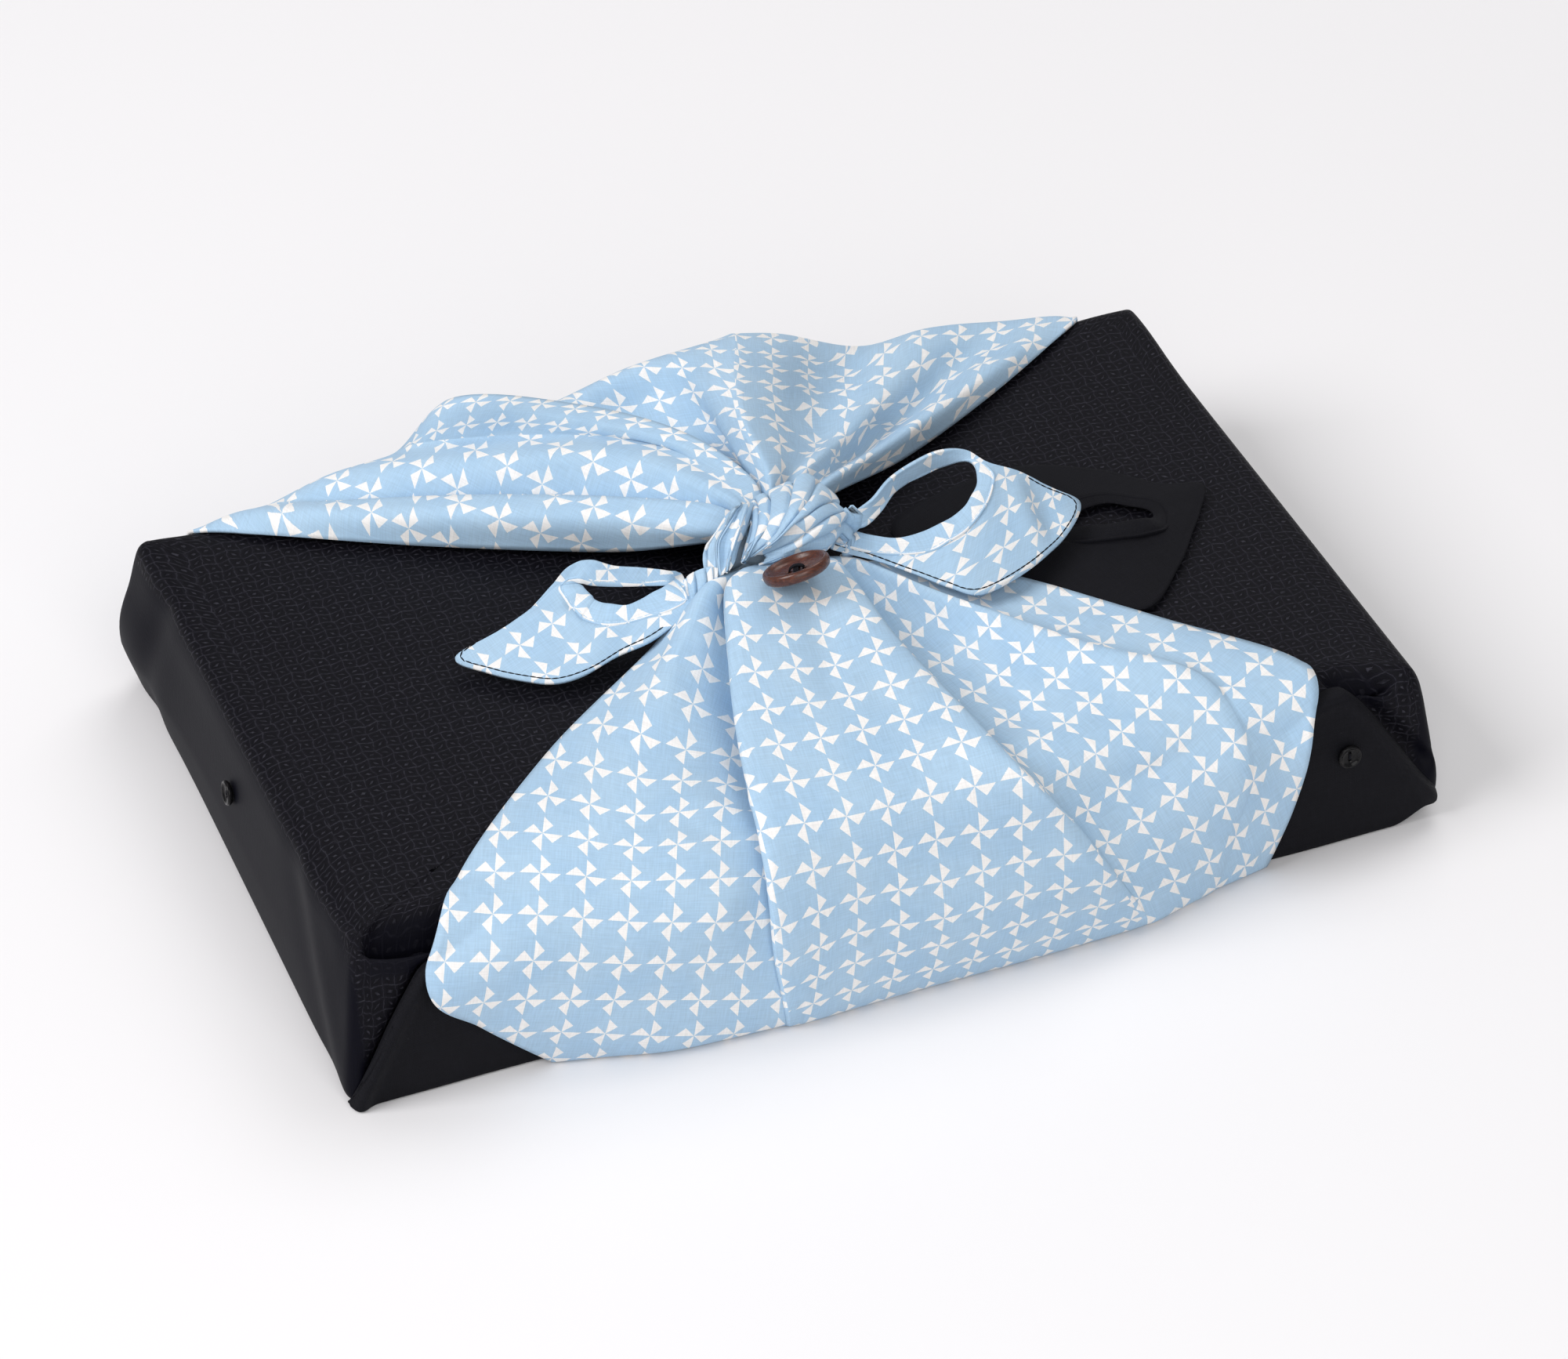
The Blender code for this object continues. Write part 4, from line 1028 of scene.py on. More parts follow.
backPanel = {
    "side": 1,
    "flat": (0.45, 0.25), "area": 0.074,
    "gather": (8, 12, 94),
    "crisp": ("roll top", "lower crease", "lapped edge", "lap under", "tall ridge"),
    "stiffness": 0.15,
    "ribs": (
        ("lower edge", (-16, 25, 89), (-43, 46, 78), (-109, 83, 74), (-195, 130, 73.5),
         (-196, 141, 60), (-185, 145, 30), (-150, 146, 2)),
        ("lower roll", (-18, 25, 97), (-42, 47, 93), (-101, 83, 88), (-174, 132, 76),
         (-178, 147, 60), (-165, 152, 30), (-135, 150, 2)),
        ("roll top", (-10, 31, 100.5), (-39, 58, 94.5), (-94, 93, 87.5), (-162, 132, 75),
         (-168, 148.5, 61), (-156, 153.5, 30), (-127, 150.5, 2)),
        ("lower crease", (-8.5, 33, 97), (-37, 61, 87), (-91, 96, 80.5), (-158, 135, 73.6),
         (-161, 149, 60), (-148, 154, 30), (-119, 151, 2)),
        ("left roll", (-5, 30, 103), (-32, 72, 101), (-76, 98, 96), (-136, 138, 79),
         (-138, 152, 62), (-128, 159, 32), (-105, 156, 2)),
        ("soft valley", (0, 32, 103), (-16, 79, 99.5), (-55, 111, 94.5), (-101, 138, 84),
         (-108, 154, 62), (-104, 160, 32), (-88, 157, 2)),
        ("band top", (5, 31, 105), (-8, 69.5, 104), (-41, 107, 102.5), (-87, 137, 100),
         (-90, 157, 66), (-87, 163, 33.5), (-74, 159, 2)),
        ("lapped edge", (7, 34, 106), (-5, 73, 105.5), (-37, 111, 104), (-83, 138, 102),
         (-84, 158, 68), (-82, 164, 34), (-70, 160, 2)),
        ("lap under", (8, 35.5, 101.5), (-4.5, 75, 98.5), (-36, 113, 96.5), (-82, 139.5, 95.5),
         (-81, 158, 66), (-80, 163.5, 34), (-68, 160, 2)),
        ("lap foot", (12, 42, 98), (7, 87, 88), (-17, 121, 83.5), (-49, 138, 87),
         (-56, 156, 63), (-58, 162, 33), (-52, 160, 2)),
        ("middle", (13, 41, 101), (13, 86, 95), (7, 124, 94), (-4, 138, 96.5),
         (-12, 160, 66), (-20, 166, 34), (-26, 161, 2)),
        ("ridge foot", (10.5, 36.5, 104), (12.5, 67.5, 107.5), (20.5, 103, 108), (35.5, 138, 100.3),
         (29, 161.5, 69), (17.5, 167.5, 35.5), (5.5, 162, 2)),
        ("tall ridge", (13, 34, 108), (15, 64, 112), (24, 97, 111), (39, 138, 101),
         (34, 162, 70), (22, 168, 36), (10, 162, 2)),
        ("ridge slope", (18, 36, 106), (28, 68, 106), (42, 101, 104), (58, 138, 96),
         (56, 160, 66), (46, 165, 34), (30, 160, 2)),
        ("valley", (25, 39, 100), (50, 71, 90.5), (67, 101, 85.5), (98, 138, 79),
         (92, 154, 60), (78, 160, 32), (55, 157, 2)),
        ("right ridge", (30, 38, 101), (63, 69, 93.5), (89, 96, 89), (124, 138, 80.5),
         (118, 154, 60), (100, 160, 32), (76, 156, 2)),
        ("right valley", (36, 38, 94), (71, 67, 82), (114, 101, 77), (163, 137, 75),
         (158, 149, 60), (138, 155, 31), (108, 152, 2)),
        ("right roll", (38, 34, 96), (73, 56, 90), (118, 86, 84.5), (182, 134, 74),
         (178, 147, 60), (160, 152, 30), (128, 149, 2)),
        ("right edge", (42, 36, 89), (82, 62, 77), (131, 91, 74), (190, 129, 73.5),
         (189, 141, 60), (176, 145, 30), (145, 146, 2)),
    ),
    "creases": (),
    "print": (
        ("lower edge", "lower crease", (
            (-2, (-3, 291, 679)),
            (-1, (-2, 361, 658), (0, 456, 693)),
            (0, (-1, 431, 642), (1, 522, 673), (2, 573, 693)),
            (1, (1, 547, 634), (3, 638, 663), (5, 742, 691)),
            (2, (4, 709, 636), (6, 807, 669), (7, 861, 677)),
            (3, (7, 875, 639)),
        )),
        ("lower crease", "soft valley", (
            (0, (0, 431, 615), (1, 472, 629)),
            (1, (1, 502, 591), (3, 584, 624)),
            (2, (2, 568, 564), (4, 648, 596), (5, 692, 617)),
            (3, (4, 676, 555), (6, 757, 590), (8, 855, 632)),
        )),
        ("soft valley", "lapped edge", (
            (0, (0, 558, 549), (2, 635, 537), (4, 713, 543), (6, 790, 559), (8, 866, 604), (9, 906, 632)),
            (1, (1, 608, 515), (3, 691, 516), (5, 775, 531), (7, 860, 555), (9, 937, 599)),
        )),
        ("lapped edge", "tall ridge", (
            (0, (-1, 725, 505), (1, 822, 469), (3, 911, 472)),
            (-1, (0, 791, 520), (2, 887, 498), (3, 934, 498)),
            (-2, (1, 857, 547), (2, 904, 541)),
            (-4, (2, 942, 587)),
        )),
        ("tall ridge", "right edge", (
            (7, (-1, 940, 430), (1, 1031, 443)),
            (6, (0, 983, 455), (2, 1078, 454)),
            (5, (-1, 944, 466), (1, 1029, 478), (3, 1129, 451), (5, 1222, 431), (7, 1320, 417)),
            (4, (0, 983, 493), (2, 1079, 498), (4, 1173, 471), (7, 1318, 438)),
            (3, (-1, 942, 522), (1, 1036, 516), (3, 1119, 526), (5, 1211, 483), (7, 1297, 465)),
            (2, (0, 988, 539), (2, 1076, 564), (5, 1197, 516), (6, 1235, 506)),
            (1, (1, 1042, 577), (4, 1123, 556), (5, 1172, 552)),
            (0, (0, 995, 606), (4, 1100, 590)),
        )),
    ),
}


# Moves a panel's points out until they clear the bundle and its flap.
def keepClear(points, side):
    turn = panelRules["turn"]
    sheet = panelRules["sheet"] / 2
    centreOut = body["width"] / 2 - turn["in"]
    centreZ = body["height"] - turn["down"]
    top = body["height"] + panelRules["clear"] + sheet
    for p in points:
        out, z = side * p[1] / mm, p[2] / mm
        if out > centreOut and z > centreZ:
            short = turn["radius"] / math.hypot(out - centreOut, z - centreZ)
            if short > 1:
                out = centreOut + (out - centreOut) * short
                z = centreZ + (z - centreZ) * short
        elif z > centreZ:
            rise = risen(out, centreOut - turn["rise"], centreOut)
            z = max(z, top + (centreZ + turn["radius"] - top) * rise)
        else:
            wall = body["width"] / 2 - bodyInset(z * mm) / mm
            out = max(out, wall + flap["clear"] + flap["thickness"] + panelRules["clear"] + sheet)
        p[1], p[2] = side * out * mm, max(z, sheet + panelRules["offFloor"]) * mm
    return points


# Joins ribs into one surface, with steps of about the same width, and says where each rib is.
def acrossRibs(rows, step, crisp):
    ribs = np.asarray(rows, float)
    gap = np.linalg.norm(np.diff(ribs, axis=0), axis=-1).mean(1)
    slope = np.diff(ribs, axis=0) / gap[:, None, None]
    tangent = np.empty_like(ribs)
    tangent[0], tangent[-1] = slope[0], slope[-1]
    before, after = gap[:-1, None, None], gap[1:, None, None]
    tangent[1:-1] = (slope[:-1] * after + slope[1:] * before) / (before + after)
    arriving, leaving = tangent.copy(), tangent.copy()
    for number in crisp:
        arriving[number] += (slope[number - 1] - tangent[number]) * panelRules["crispness"]
        leaving[number] += (slope[number] - tangent[number]) * panelRules["crispness"]
    surface, starts = [], [0]
    for i, width in enumerate(gap):
        steps = max(3, round(width / step))
        for t in np.arange(steps) / steps:
            surface.append((2 * t ** 3 - 3 * t ** 2 + 1) * ribs[i] + (3 * t ** 2 - 2 * t ** 3) * ribs[i + 1]
                           + (t ** 3 - 2 * t ** 2 + t) * width * leaving[i]
                           + (t ** 3 - t ** 2) * width * arriving[i + 1])
        starts.append(len(surface))
    return np.array(surface + [ribs[-1]]), starts


# A smooth line through points that are far apart and close together by turns.
def tautLine(points, steps):
    p = np.asarray(points, float)
    gap = np.linalg.norm(np.diff(p, axis=0), axis=1)
    way = np.diff(p, axis=0) / gap[:, None]
    turn = unit(np.concatenate([way[:1], way[:-1] + way[1:], way[-1:]]))
    leave = np.minimum(gap, 1.3 * np.append(gap[0], gap[:-1]))
    arrive = np.minimum(gap, 1.3 * np.append(gap[1:], gap[-1]))
    line = []
    for i in range(len(gap)):
        for t in np.arange(steps) / steps:
            line.append((2 * t ** 3 - 3 * t ** 2 + 1) * p[i] + (3 * t ** 2 - 2 * t ** 3) * p[i + 1]
                        + (t ** 3 - 2 * t ** 2 + t) * leave[i] * turn[i]
                        + (t ** 3 - t ** 2) * arrive[i] * turn[i + 1])
    return np.array(line + [p[-1]])


def panelGrid(panel):
    rows, side = [], panel["side"]
    gather = np.array(panel["gather"], float)
    for _, *points in panel["ribs"]:
        root = np.array(points[0], float)
        tail = root + (gather - root) * panelRules["rootShare"]
        tuck = (points[-1][0], side * panelRules["tuck"]["y"], panelRules["tuck"]["z"])
        rows.append(tautLine([tail] + list(points) + [tuck], panelRules["alongSteps"]))
    names = [name for name, *_ in panel["ribs"]]
    grid, starts = acrossRibs(rows, panelRules["acrossStep"], [names.index(name) for name in panel["crisp"]])
    grid = creased(grid[:, ::-1] * mm, panel["creases"])
    tucked = grid[:, 0].copy()
    keepClear(grid.reshape(-1, 3), side)
    grid[:, 0] = tucked
    grid[..., 2] = np.maximum(grid[..., 2], (panelRules["sheet"] / 2 + panelRules["offFloor"]) * mm)
    return grid, dict(zip(names, starts))


def printedPanel(name, panel, node):
    grid, starts = panelGrid(panel)
    faces = gridFaces(*grid.shape[:2])
    flatCloth = developed(grid)
    corners = np.zeros((len(faces), 4, 2))
    vertexOf = np.array(faces)
    for first, last, chart in panel["print"]:
        a, b = starts[first], starts[last]
        laid = seenPrint(name, flatCloth[a:b + 1], grid[a:b + 1], chart, panel["stiffness"])
        laid = laid.reshape(-1, 2)
        columns = grid.shape[1]
        part = slice(a * (columns - 1), b * (columns - 1))
        corners[part] = laid[vertexOf[part] - a * columns]
    if gridNormals(grid)[grid.shape[0] // 2, grid.shape[1] * 3 // 4][2] < 0:
        faces = [tuple(reversed(face)) for face in faces]
        corners = corners[:, ::-1]
    piece = makePiece(name, grid, faces, "print", cornerUv=corners.reshape(-1, 2))
    thicken(piece, panelRules["sheet"] * mm)
    fit(piece, "printed_cloth", node)
    return piece


# Tabs and their bound hand holes

tabRules = {
    "steps": 10, "across": 14,
    "sheet": 1.4,
    "stiffness": 0.3,           # how little the print bends to meet its placed repeats
    "stitchIn": 2.3,            # the hem's stitching, from the tab's edge
    "stitchDip": 0.12, "dipWidth": 0.9,     # how the stitching draws the cloth in
    # the binding's section: share of its width from the hole, height over its middle line
    "section": ((0.0, 0.0), (0.012, 0.45), (0.05, 0.88), (0.13, 1.18), (0.30, 1.30), (0.55, 1.27),
                (0.72, 1.20), (0.80, 1.05), (0.845, 0.90), (0.89, 1.08), (0.94, 1.20), (0.98, 1.05),
                (1.0, 0.62)),
    "bindingStitch": 0.845,
    "underBinding": 1.2,        # how far the tab goes on under its binding
    "crowding": 0.85,           # below 1 packs the tab's points nearer to its edge
    "bindingWidth": 0.0075,     # of the folded strip, in metres
    "strip": 0.010,             # its cut width, with turnings
    "lapLift": 0.45,            # how much thicker it is where its end laps over
    "thinnest": 0.45,           # where a binding narrows, as a share of its section
    "fullAt": 9,                # how wide it is where the section is whole
    "underside": 0.0012,        # of cloth under the strip, back to its first edge
}

rightTab = {
    # name, the hole's edge, the binding's outer edge, the tab's outline
    "rows": (
        ("inner turn", (33, 0, 99), (30, 0, 98), (28, 1, 97)),
        ("root top", (40, -2, 99), (39, 0, 100), (37, 2, 104)),
        ("root strip", (49, 4, 99), (48, 6, 101), (46, 5, 106)),
        ("strip one", (60, 13, 101), (60, 14, 102), (56, 12, 108)),
        ("strip two", (73, 18, 101), (72, 18, 103), (68, 16, 110)),
        ("strip three", (83, 18, 103), (83, 19, 104), (80, 18, 111)),
        ("crest", (90, 15, 105), (91, 16, 106), (91, 17, 109)),
        ("crest end", (92, 11, 105), (95, 12, 105), (98, 11, 105)),
        ("outer top", (91, 6, 103), (98, 5, 103), (111, 6, 99)),
        ("shoulder", (89, 2, 102), (95, -1, 101), (122, 1, 92)),
        ("point", (85, -2, 101), (90, -7, 99), (131, -5, 86)),
        ("end edge", (81, -5, 99), (84, -12, 97), (119, -20, 85)),
        ("end low", (75, -7, 97), (77, -16, 95), (97, -34, 84)),
        ("corner", (69, -9, 97), (70, -17, 93), (73, -42, 84)),
        ("corner side", (61, -9, 95), (62, -18, 91), (62, -34, 85)),
        ("lower edge", (51, -9, 95), (51, -16, 91), (53, -25, 87)),
        ("lower root", (43, -4, 95), (41, -11, 91), (42, -14, 89)),
        ("root low", (37, 0, 96), (32, -6, 93), (31, -6, 91)),
        ("root end", (34, 2, 97), (27, -1, 94), (25, -2, 93)),
    ),
    "creases": (
        ((105, 6, 99), (104, -26, 90), 2.2, 5),
        ((115, 5, 94), (113, -26, 86), -2.0, 5),
        ((66, -15, 92), (86, -30, 86), -0.8, 5),
    ),
    "print": (
        (0, (-2, 1166, 712), (-1, 1233, 685), (0, 1288, 648), (2, 1342, 636)),
        (-1, (-1, 1219, 736), (0, 1280, 699), (2, 1353, 671)),
        (-2, (0, 1272, 744)),
    ),
    "bindingPin": (70, -17, 93),
    "flat": (0.078, 0.095), "area": 0.0030, "strip": 0.168, "restsOn": ["frontPanel"],
    "stitchRows": (8.4, 17.6),
}

leftTab = {
    "rows": (
        ("inner turn", (-43, 0, 93), (-39, 1, 93), (-35, 3, 93)),
        ("root top", (-44, 0, 93), (-43, 1, 95), (-41, 2, 98)),
        ("strip one", (-53, 5, 92), (-52, 5, 94), (-51, 7, 99)),
        ("strip two", (-62, 10, 91), (-61, 10, 94), (-60, 12, 99)),
        ("strip three", (-69, 14, 91), (-69, 14, 94), (-67, 16, 101)),
        ("crest", (-72, 15, 92), (-73, 16, 95), (-71, 20, 99)),
        ("crest end", (-73, 16, 92), (-77, 18, 94), (-77, 20, 97)),
        ("outer top", (-73, 16, 91), (-81, 17, 92), (-84, 18, 92)),
        ("outer side", (-72, 14, 91), (-82, 15, 91), (-94, 13, 88)),
        ("side two", (-72, 13, 91), (-81, 11, 89), (-109, 10, 83)),
        ("point", (-71, 11, 90), (-80, 8, 87), (-128.5, 5.5, 78.7)),
        ("end edge", (-70, 9, 89), (-79, 5, 87), (-119, -6, 77)),
        ("lap", (-70, 7, 89), (-78, 1, 86), (-108, -16, 77)),
        ("corner", (-68, 4, 89), (-75, -2, 85), (-98, -22, 77)),
        ("corner side", (-65, 2, 89), (-70, -6, 85), (-86, -24, 79)),
        ("lower edge", (-60, -1, 89), (-62, -8, 85), (-70, -19, 80)),
        ("lower two", (-54, -1, 90), (-54, -9, 86), (-57, -19, 83)),
        ("lower root", (-49, -1, 92), (-44, -10, 88), (-45, -15, 85)),
        ("root end", (-45, -1, 93), (-37, -8, 90), (-37, -13, 88)),
    ),
    "creases": (
        ((-92, 12, 89), (-104, 2, 82), -0.7, 4),
        ((-84, 4, 86), (-92, -18, 80), 0.8, 5),
    ),
    "print": (
        (0, (0, 705, 796), (1, 738, 838)),
        (-1, (0, 663, 824), (1, 697, 861)),
        (1, (1, 776, 803), (2, 805, 824)),
    ),
    "bindingPin": (-62, -8, 85),
    "flat": (0.060, 0.105), "area": 0.0024, "strip": 0.114, "restsOn": ["bodyCloth"],
    "stitchRows": (9.6, 16.4),
    "lap": 12.0,
}

bodyTab = {
    "rows": (
        ("neck back", (131, 1, 73.5), (126, 6, 74.5), (66, 30, 73)),
        ("back neck", (138, 6, 73.8), (138, 12, 75), (120, 44, 73)),
        ("back edge", (148, 6, 74), (150, 11, 75), (153, 30, 73)),
        ("back half", (155, 1, 74), (159, 5, 75), (173, 11, 73)),
        ("back corner", (161, -4, 74), (167, -2, 75), (189, 3, 73.5)),
        ("end", (161, -10, 75), (167, -12, 75), (181, -12, 73.5)),
        ("end low", (157, -14, 77), (161, -22, 75.5), (172, -24, 73.5)),
        ("end lower", (153, -15, 78.5), (151, -24, 76.5), (157, -43, 73.5)),
        ("front corner", (148, -15, 79), (143, -23, 76.8), (133, -63, 73.5)),
        ("front edge", (140, -13, 78), (135, -21, 76.5), (110, -40, 73)),
        ("front neck", (132, -9, 77), (126, -17, 75.5), (88, -18, 73)),
        ("neck front", (127, -3, 75), (117, -8, 74.5), (66, 2, 73)),
    ),
    "creases": (
        ((128, -26, 74), (158, -28, 74), -0.9, 4),
    ),
    "pins": (((100, 0, 73), (5, 0)), ((140, 0, 73), (7, 0))),
    "bindingPin": (151, -24, 77),
    "flat": (0.110, 0.125), "area": 0.0070, "strip": 0.130, "restsOn": ["bodyCloth"],
    # the rolled side of its hole: first row, last row, and how much fuller
    "rolled": (5.5, 10.5, 1.5),
}


def closedLength(loop):
    steps = np.linalg.norm(np.roll(loop, -1, axis=0) - loop, axis=1)
    return np.concatenate([[0], np.cumsum(steps)])


def tabSheet(name, spec, finish, slot, node):
    edge, bound, outline = [smoothLoop([row[k] for row in spec["rows"]], tabRules["steps"]) * mm
                            for k in (1, 2, 3)]
    start = bound + unit(edge - bound) * tabRules["underBinding"] * mm
    shares = np.linspace(0, 1, tabRules["across"] + 1) ** tabRules["crowding"]
    grid = start[:, None] + (outline - start)[:, None] * shares[None, :, None]
    fromEdge = np.linalg.norm(grid - outline[:, None], axis=2)
    fromStitch = (fromEdge - tabRules["stitchIn"] * mm) / (tabRules["dipWidth"] * mm)
    dip = tabRules["stitchDip"] * mm * np.exp(-fromStitch ** 2)
    normals = gridNormals(grid, closed=True)
    normals *= np.sign(normals[..., 2:3].mean()) or 1
    grid = creased(grid - normals * dip[..., None], spec["creases"], closed=True)
    flat = ringFlat(grid)
    if "print" in spec:
        uv = seenPrint(name, flat, grid, spec["print"], tabRules["stiffness"], closed=True)
    else:
        uv = turnedPrint(flat, grid, spec["pins"])
    piece = makePiece(name, grid, gridFaces(*grid.shape[:2], closed=True), finish, uv=uv)
    thicken(piece, tabRules["sheet"] * mm)
    fit(piece, slot, node)
    return piece, grid, normals


def ringFlat(grid):
    rows, columns = grid.shape[:2]
    mesh = bpy.data.meshes.new("layFlat")
    mesh.from_pydata(grid.reshape(-1, 3).tolist(), [], gridFaces(rows, columns, closed=True))
    flat = layFlat(mesh).reshape(rows, columns, 2)
    length = np.linalg.norm(np.diff(grid, axis=1), axis=-1).sum()
    return flat * length / np.linalg.norm(np.diff(flat, axis=1), axis=-1).sum()


# The stitching's route: a little inside the outline, on top of the tab.
def hemPath(grid, normals, rows):
    first, last = [int(row * tabRules["steps"]) for row in rows]
    path = []
    for i in range(first, last + 1):
        fromEdge = np.linalg.norm(grid[i] - grid[i, -1], axis=1)[::-1]
        line, up = grid[i][::-1], normals[i][::-1]
        place = [np.interp(tabRules["stitchIn"] * mm, fromEdge, line[:, k]) for k in range(3)]
        lift = [np.interp(tabRules["stitchIn"] * mm, fromEdge, up[:, k]) for k in range(3)]
        path.append(np.array(place) + np.array(lift) * tabRules["sheet"] / 2 * mm)
    return np.array(path)


def tabBinding(name, spec, finish, slot, node):
    edge, bound = [smoothLoop([row[k] for row in spec["rows"]], tabRules["steps"]) * mm for k in (1, 2)]
    count = len(edge)
    across = bound - edge
    width = np.linalg.norm(across, axis=1)
    along = np.roll(edge + bound, -1, axis=0) - np.roll(edge + bound, 1, axis=0)
    up = unit(np.cross(along, across))
    if up[:, 2].mean() < 0:
        up = -up
    upper = list(tabRules["section"])
    lower = [(share, -height) for share, height in reversed(upper[1:])]
    section = upper + lower
    run = closedLength((edge + bound) / 2)
    pin = np.argmin(np.linalg.norm(bound - np.array(spec["bindingPin"]) * mm, axis=1))
    points, uv, seam = [], [], []
    thinnest = tabRules["thinnest"]
    stitchHeight = dict(tabRules["section"])[tabRules["bindingStitch"]]
    for i in range(count + 1):
        n = i % count
        thick = min(1.0, thinnest + width[n] / (tabRules["fullAt"] * mm))
        if "rolled" in spec:
            first, last, fuller = spec["rolled"]
            inside = min(n / tabRules["steps"] - first, last - n / tabRules["steps"])
            thick = thinnest + fuller * min(1.0, max(0.0, inside))
        if "lap" in spec:
            past = (spec["lap"] * tabRules["steps"] - n) / tabRules["steps"]
            thick += tabRules["lapLift"] * (1 - past) if 0 <= past < 1 else 0
        climb = 0.0
        before = None
        for share, height in section:
            point = edge[n] + across[n] * share + up[n] * height * thick * mm
            climb += 0 if before is None else np.linalg.norm(point - before)
            before = point
            if i < count:
                points.append(point)
            uv.append((run[i] - run[pin], climb - width[n]))
        seam.append(edge[n] + across[n] * tabRules["bindingStitch"] + up[n] * stitchHeight * thick * mm)
    sides = len(section)
    faces, corners = [], []
    uv = np.array(uv)
    for i in range(count):
        k = (i + 1) % count
        for j in range(sides):
            m = (j + 1) % sides
            faces.append((i * sides + j, i * sides + m, k * sides + m, k * sides + j))
            last = uv[i * sides + j] + (0, tabRules["underside"])
            lastNext = uv[(i + 1) * sides + j] + (0, tabRules["underside"])
            corners += [uv[i * sides + j], uv[i * sides + m] if m else last,
                        uv[(i + 1) * sides + m] if m else lastNext, uv[(i + 1) * sides + j]]
    piece = makePiece(name, points, faces, finish, cornerUv=np.array(corners))
    outwards(piece)
    fit(piece, slot, node)
    return piece, np.array(seam)


def outwards(piece):
    built = bmesh.new()
    built.from_mesh(piece.data)
    bmesh.ops.recalc_face_normals(built, faces=built.faces)
    built.to_mesh(piece.data)
    built.free()


# Stitches

stitches = {
    "hem": {"length": 0.0032, "gap": -0.0003, "thread": 0.00030, "finish": "blackThread"},
    "binding": {"length": 0.0026, "gap": 0.0005, "thread": 0.00020, "finish": "paleThread"},
}


def stitchTree():
    tree = bpy.data.node_groups.new("stitchesAlongPath", "GeometryNodeTree")
    face = tree.interface
    face.new_socket("Path", in_out="INPUT", socket_type="NodeSocketGeometry")
    face.new_socket("Stitch Length", in_out="INPUT", socket_type="NodeSocketFloat")
    face.new_socket("Gap", in_out="INPUT", socket_type="NodeSocketFloat")
    face.new_socket("Thread Radius", in_out="INPUT", socket_type="NodeSocketFloat")
    face.new_socket("Thread", in_out="INPUT", socket_type="NodeSocketMaterial")
    face.new_socket("Stitches", in_out="OUTPUT", socket_type="NodeSocketGeometry")
    add, link = tree.nodes.new, tree.links.new
    given, made = add("NodeGroupInput"), add("NodeGroupOutput")
    curve = add("GeometryNodeMeshToCurve")
    link(given.outputs["Path"], curve.inputs["Mesh"])
    pace = add("ShaderNodeMath")
    link(given.outputs["Stitch Length"], pace.inputs[0])
    link(given.outputs["Gap"], pace.inputs[1])
    evened = add("GeometryNodeResampleCurve")
    evened.mode = "LENGTH"
    link(curve.outputs["Curve"], evened.inputs["Curve"])
    link(pace.outputs[0], evened.inputs["Length"])
    bead = add("GeometryNodeMeshUVSphere")
    bead.inputs["Segments"].default_value = 8
    bead.inputs["Rings"].default_value = 6
    half = add("ShaderNodeMath")
    half.operation = "MULTIPLY"
    half.inputs[1].default_value = 0.5
    link(given.outputs["Stitch Length"], half.inputs[0])
    size = add("ShaderNodeCombineXYZ")
    link(given.outputs["Thread Radius"], size.inputs["X"])
    link(given.outputs["Thread Radius"], size.inputs["Y"])
    link(half.outputs[0], size.inputs["Z"])
    tangent = add("GeometryNodeInputTangent")
    turned = add("FunctionNodeAlignRotationToVector")
    turned.axis = "Z"
    link(tangent.outputs[0], turned.inputs["Vector"])
    placed = add("GeometryNodeInstanceOnPoints")
    link(evened.outputs["Curve"], placed.inputs["Points"])
    link(bead.outputs["Mesh"], placed.inputs["Instance"])
    link(turned.outputs["Rotation"], placed.inputs["Rotation"])
    link(size.outputs["Vector"], placed.inputs["Scale"])
    whole = add("GeometryNodeRealizeInstances")
    link(placed.outputs["Instances"], whole.inputs["Geometry"])
    dyed = add("GeometryNodeSetMaterial")
    link(whole.outputs["Geometry"], dyed.inputs["Geometry"])
    link(given.outputs["Thread"], dyed.inputs["Material"])
    link(dyed.outputs["Geometry"], made.inputs["Stitches"])
    return tree


def stitched(name, path, kind):
    spec = stitches[kind]
    mesh = bpy.data.meshes.new(name)
    mesh.from_pydata([tuple(p) for p in path], [(i, i + 1) for i in range(len(path) - 1)], [])
    piece = bpy.data.objects.new(name, mesh)
    scene.collection.objects.link(piece)
    along = piece.modifiers.new("stitches", "NODES")
    along.node_group = stitchNodes
    wanted = {"Stitch Length": spec["length"], "Gap": spec["gap"], "Thread Radius": spec["thread"],
              "Thread": finishes[spec["finish"]]}
    for socket in stitchNodes.interface.items_tree:
        if socket.in_out == "INPUT" and socket.name in wanted:
            along[socket.identifier] = wanted[socket.name]
    applyModifiers(piece)
    piece.data.shade_smooth()
    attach(piece, "root")
    return piece


stitchNodes = stitchTree()


def boundTab(name, spec, finish, slot, node):
    sheetPiece, grid, up = tabSheet(name, spec, finish, slot, node)
    bindingPiece, seam = tabBinding(name + "Binding", spec, finish, slot, node + "_binding")
    if finish == "print":
        stitched(name + "Stitches", hemPath(grid, up, spec["stitchRows"]), "hem")
        stitched(name + "BindingStitches", seam, "binding")


# Knot

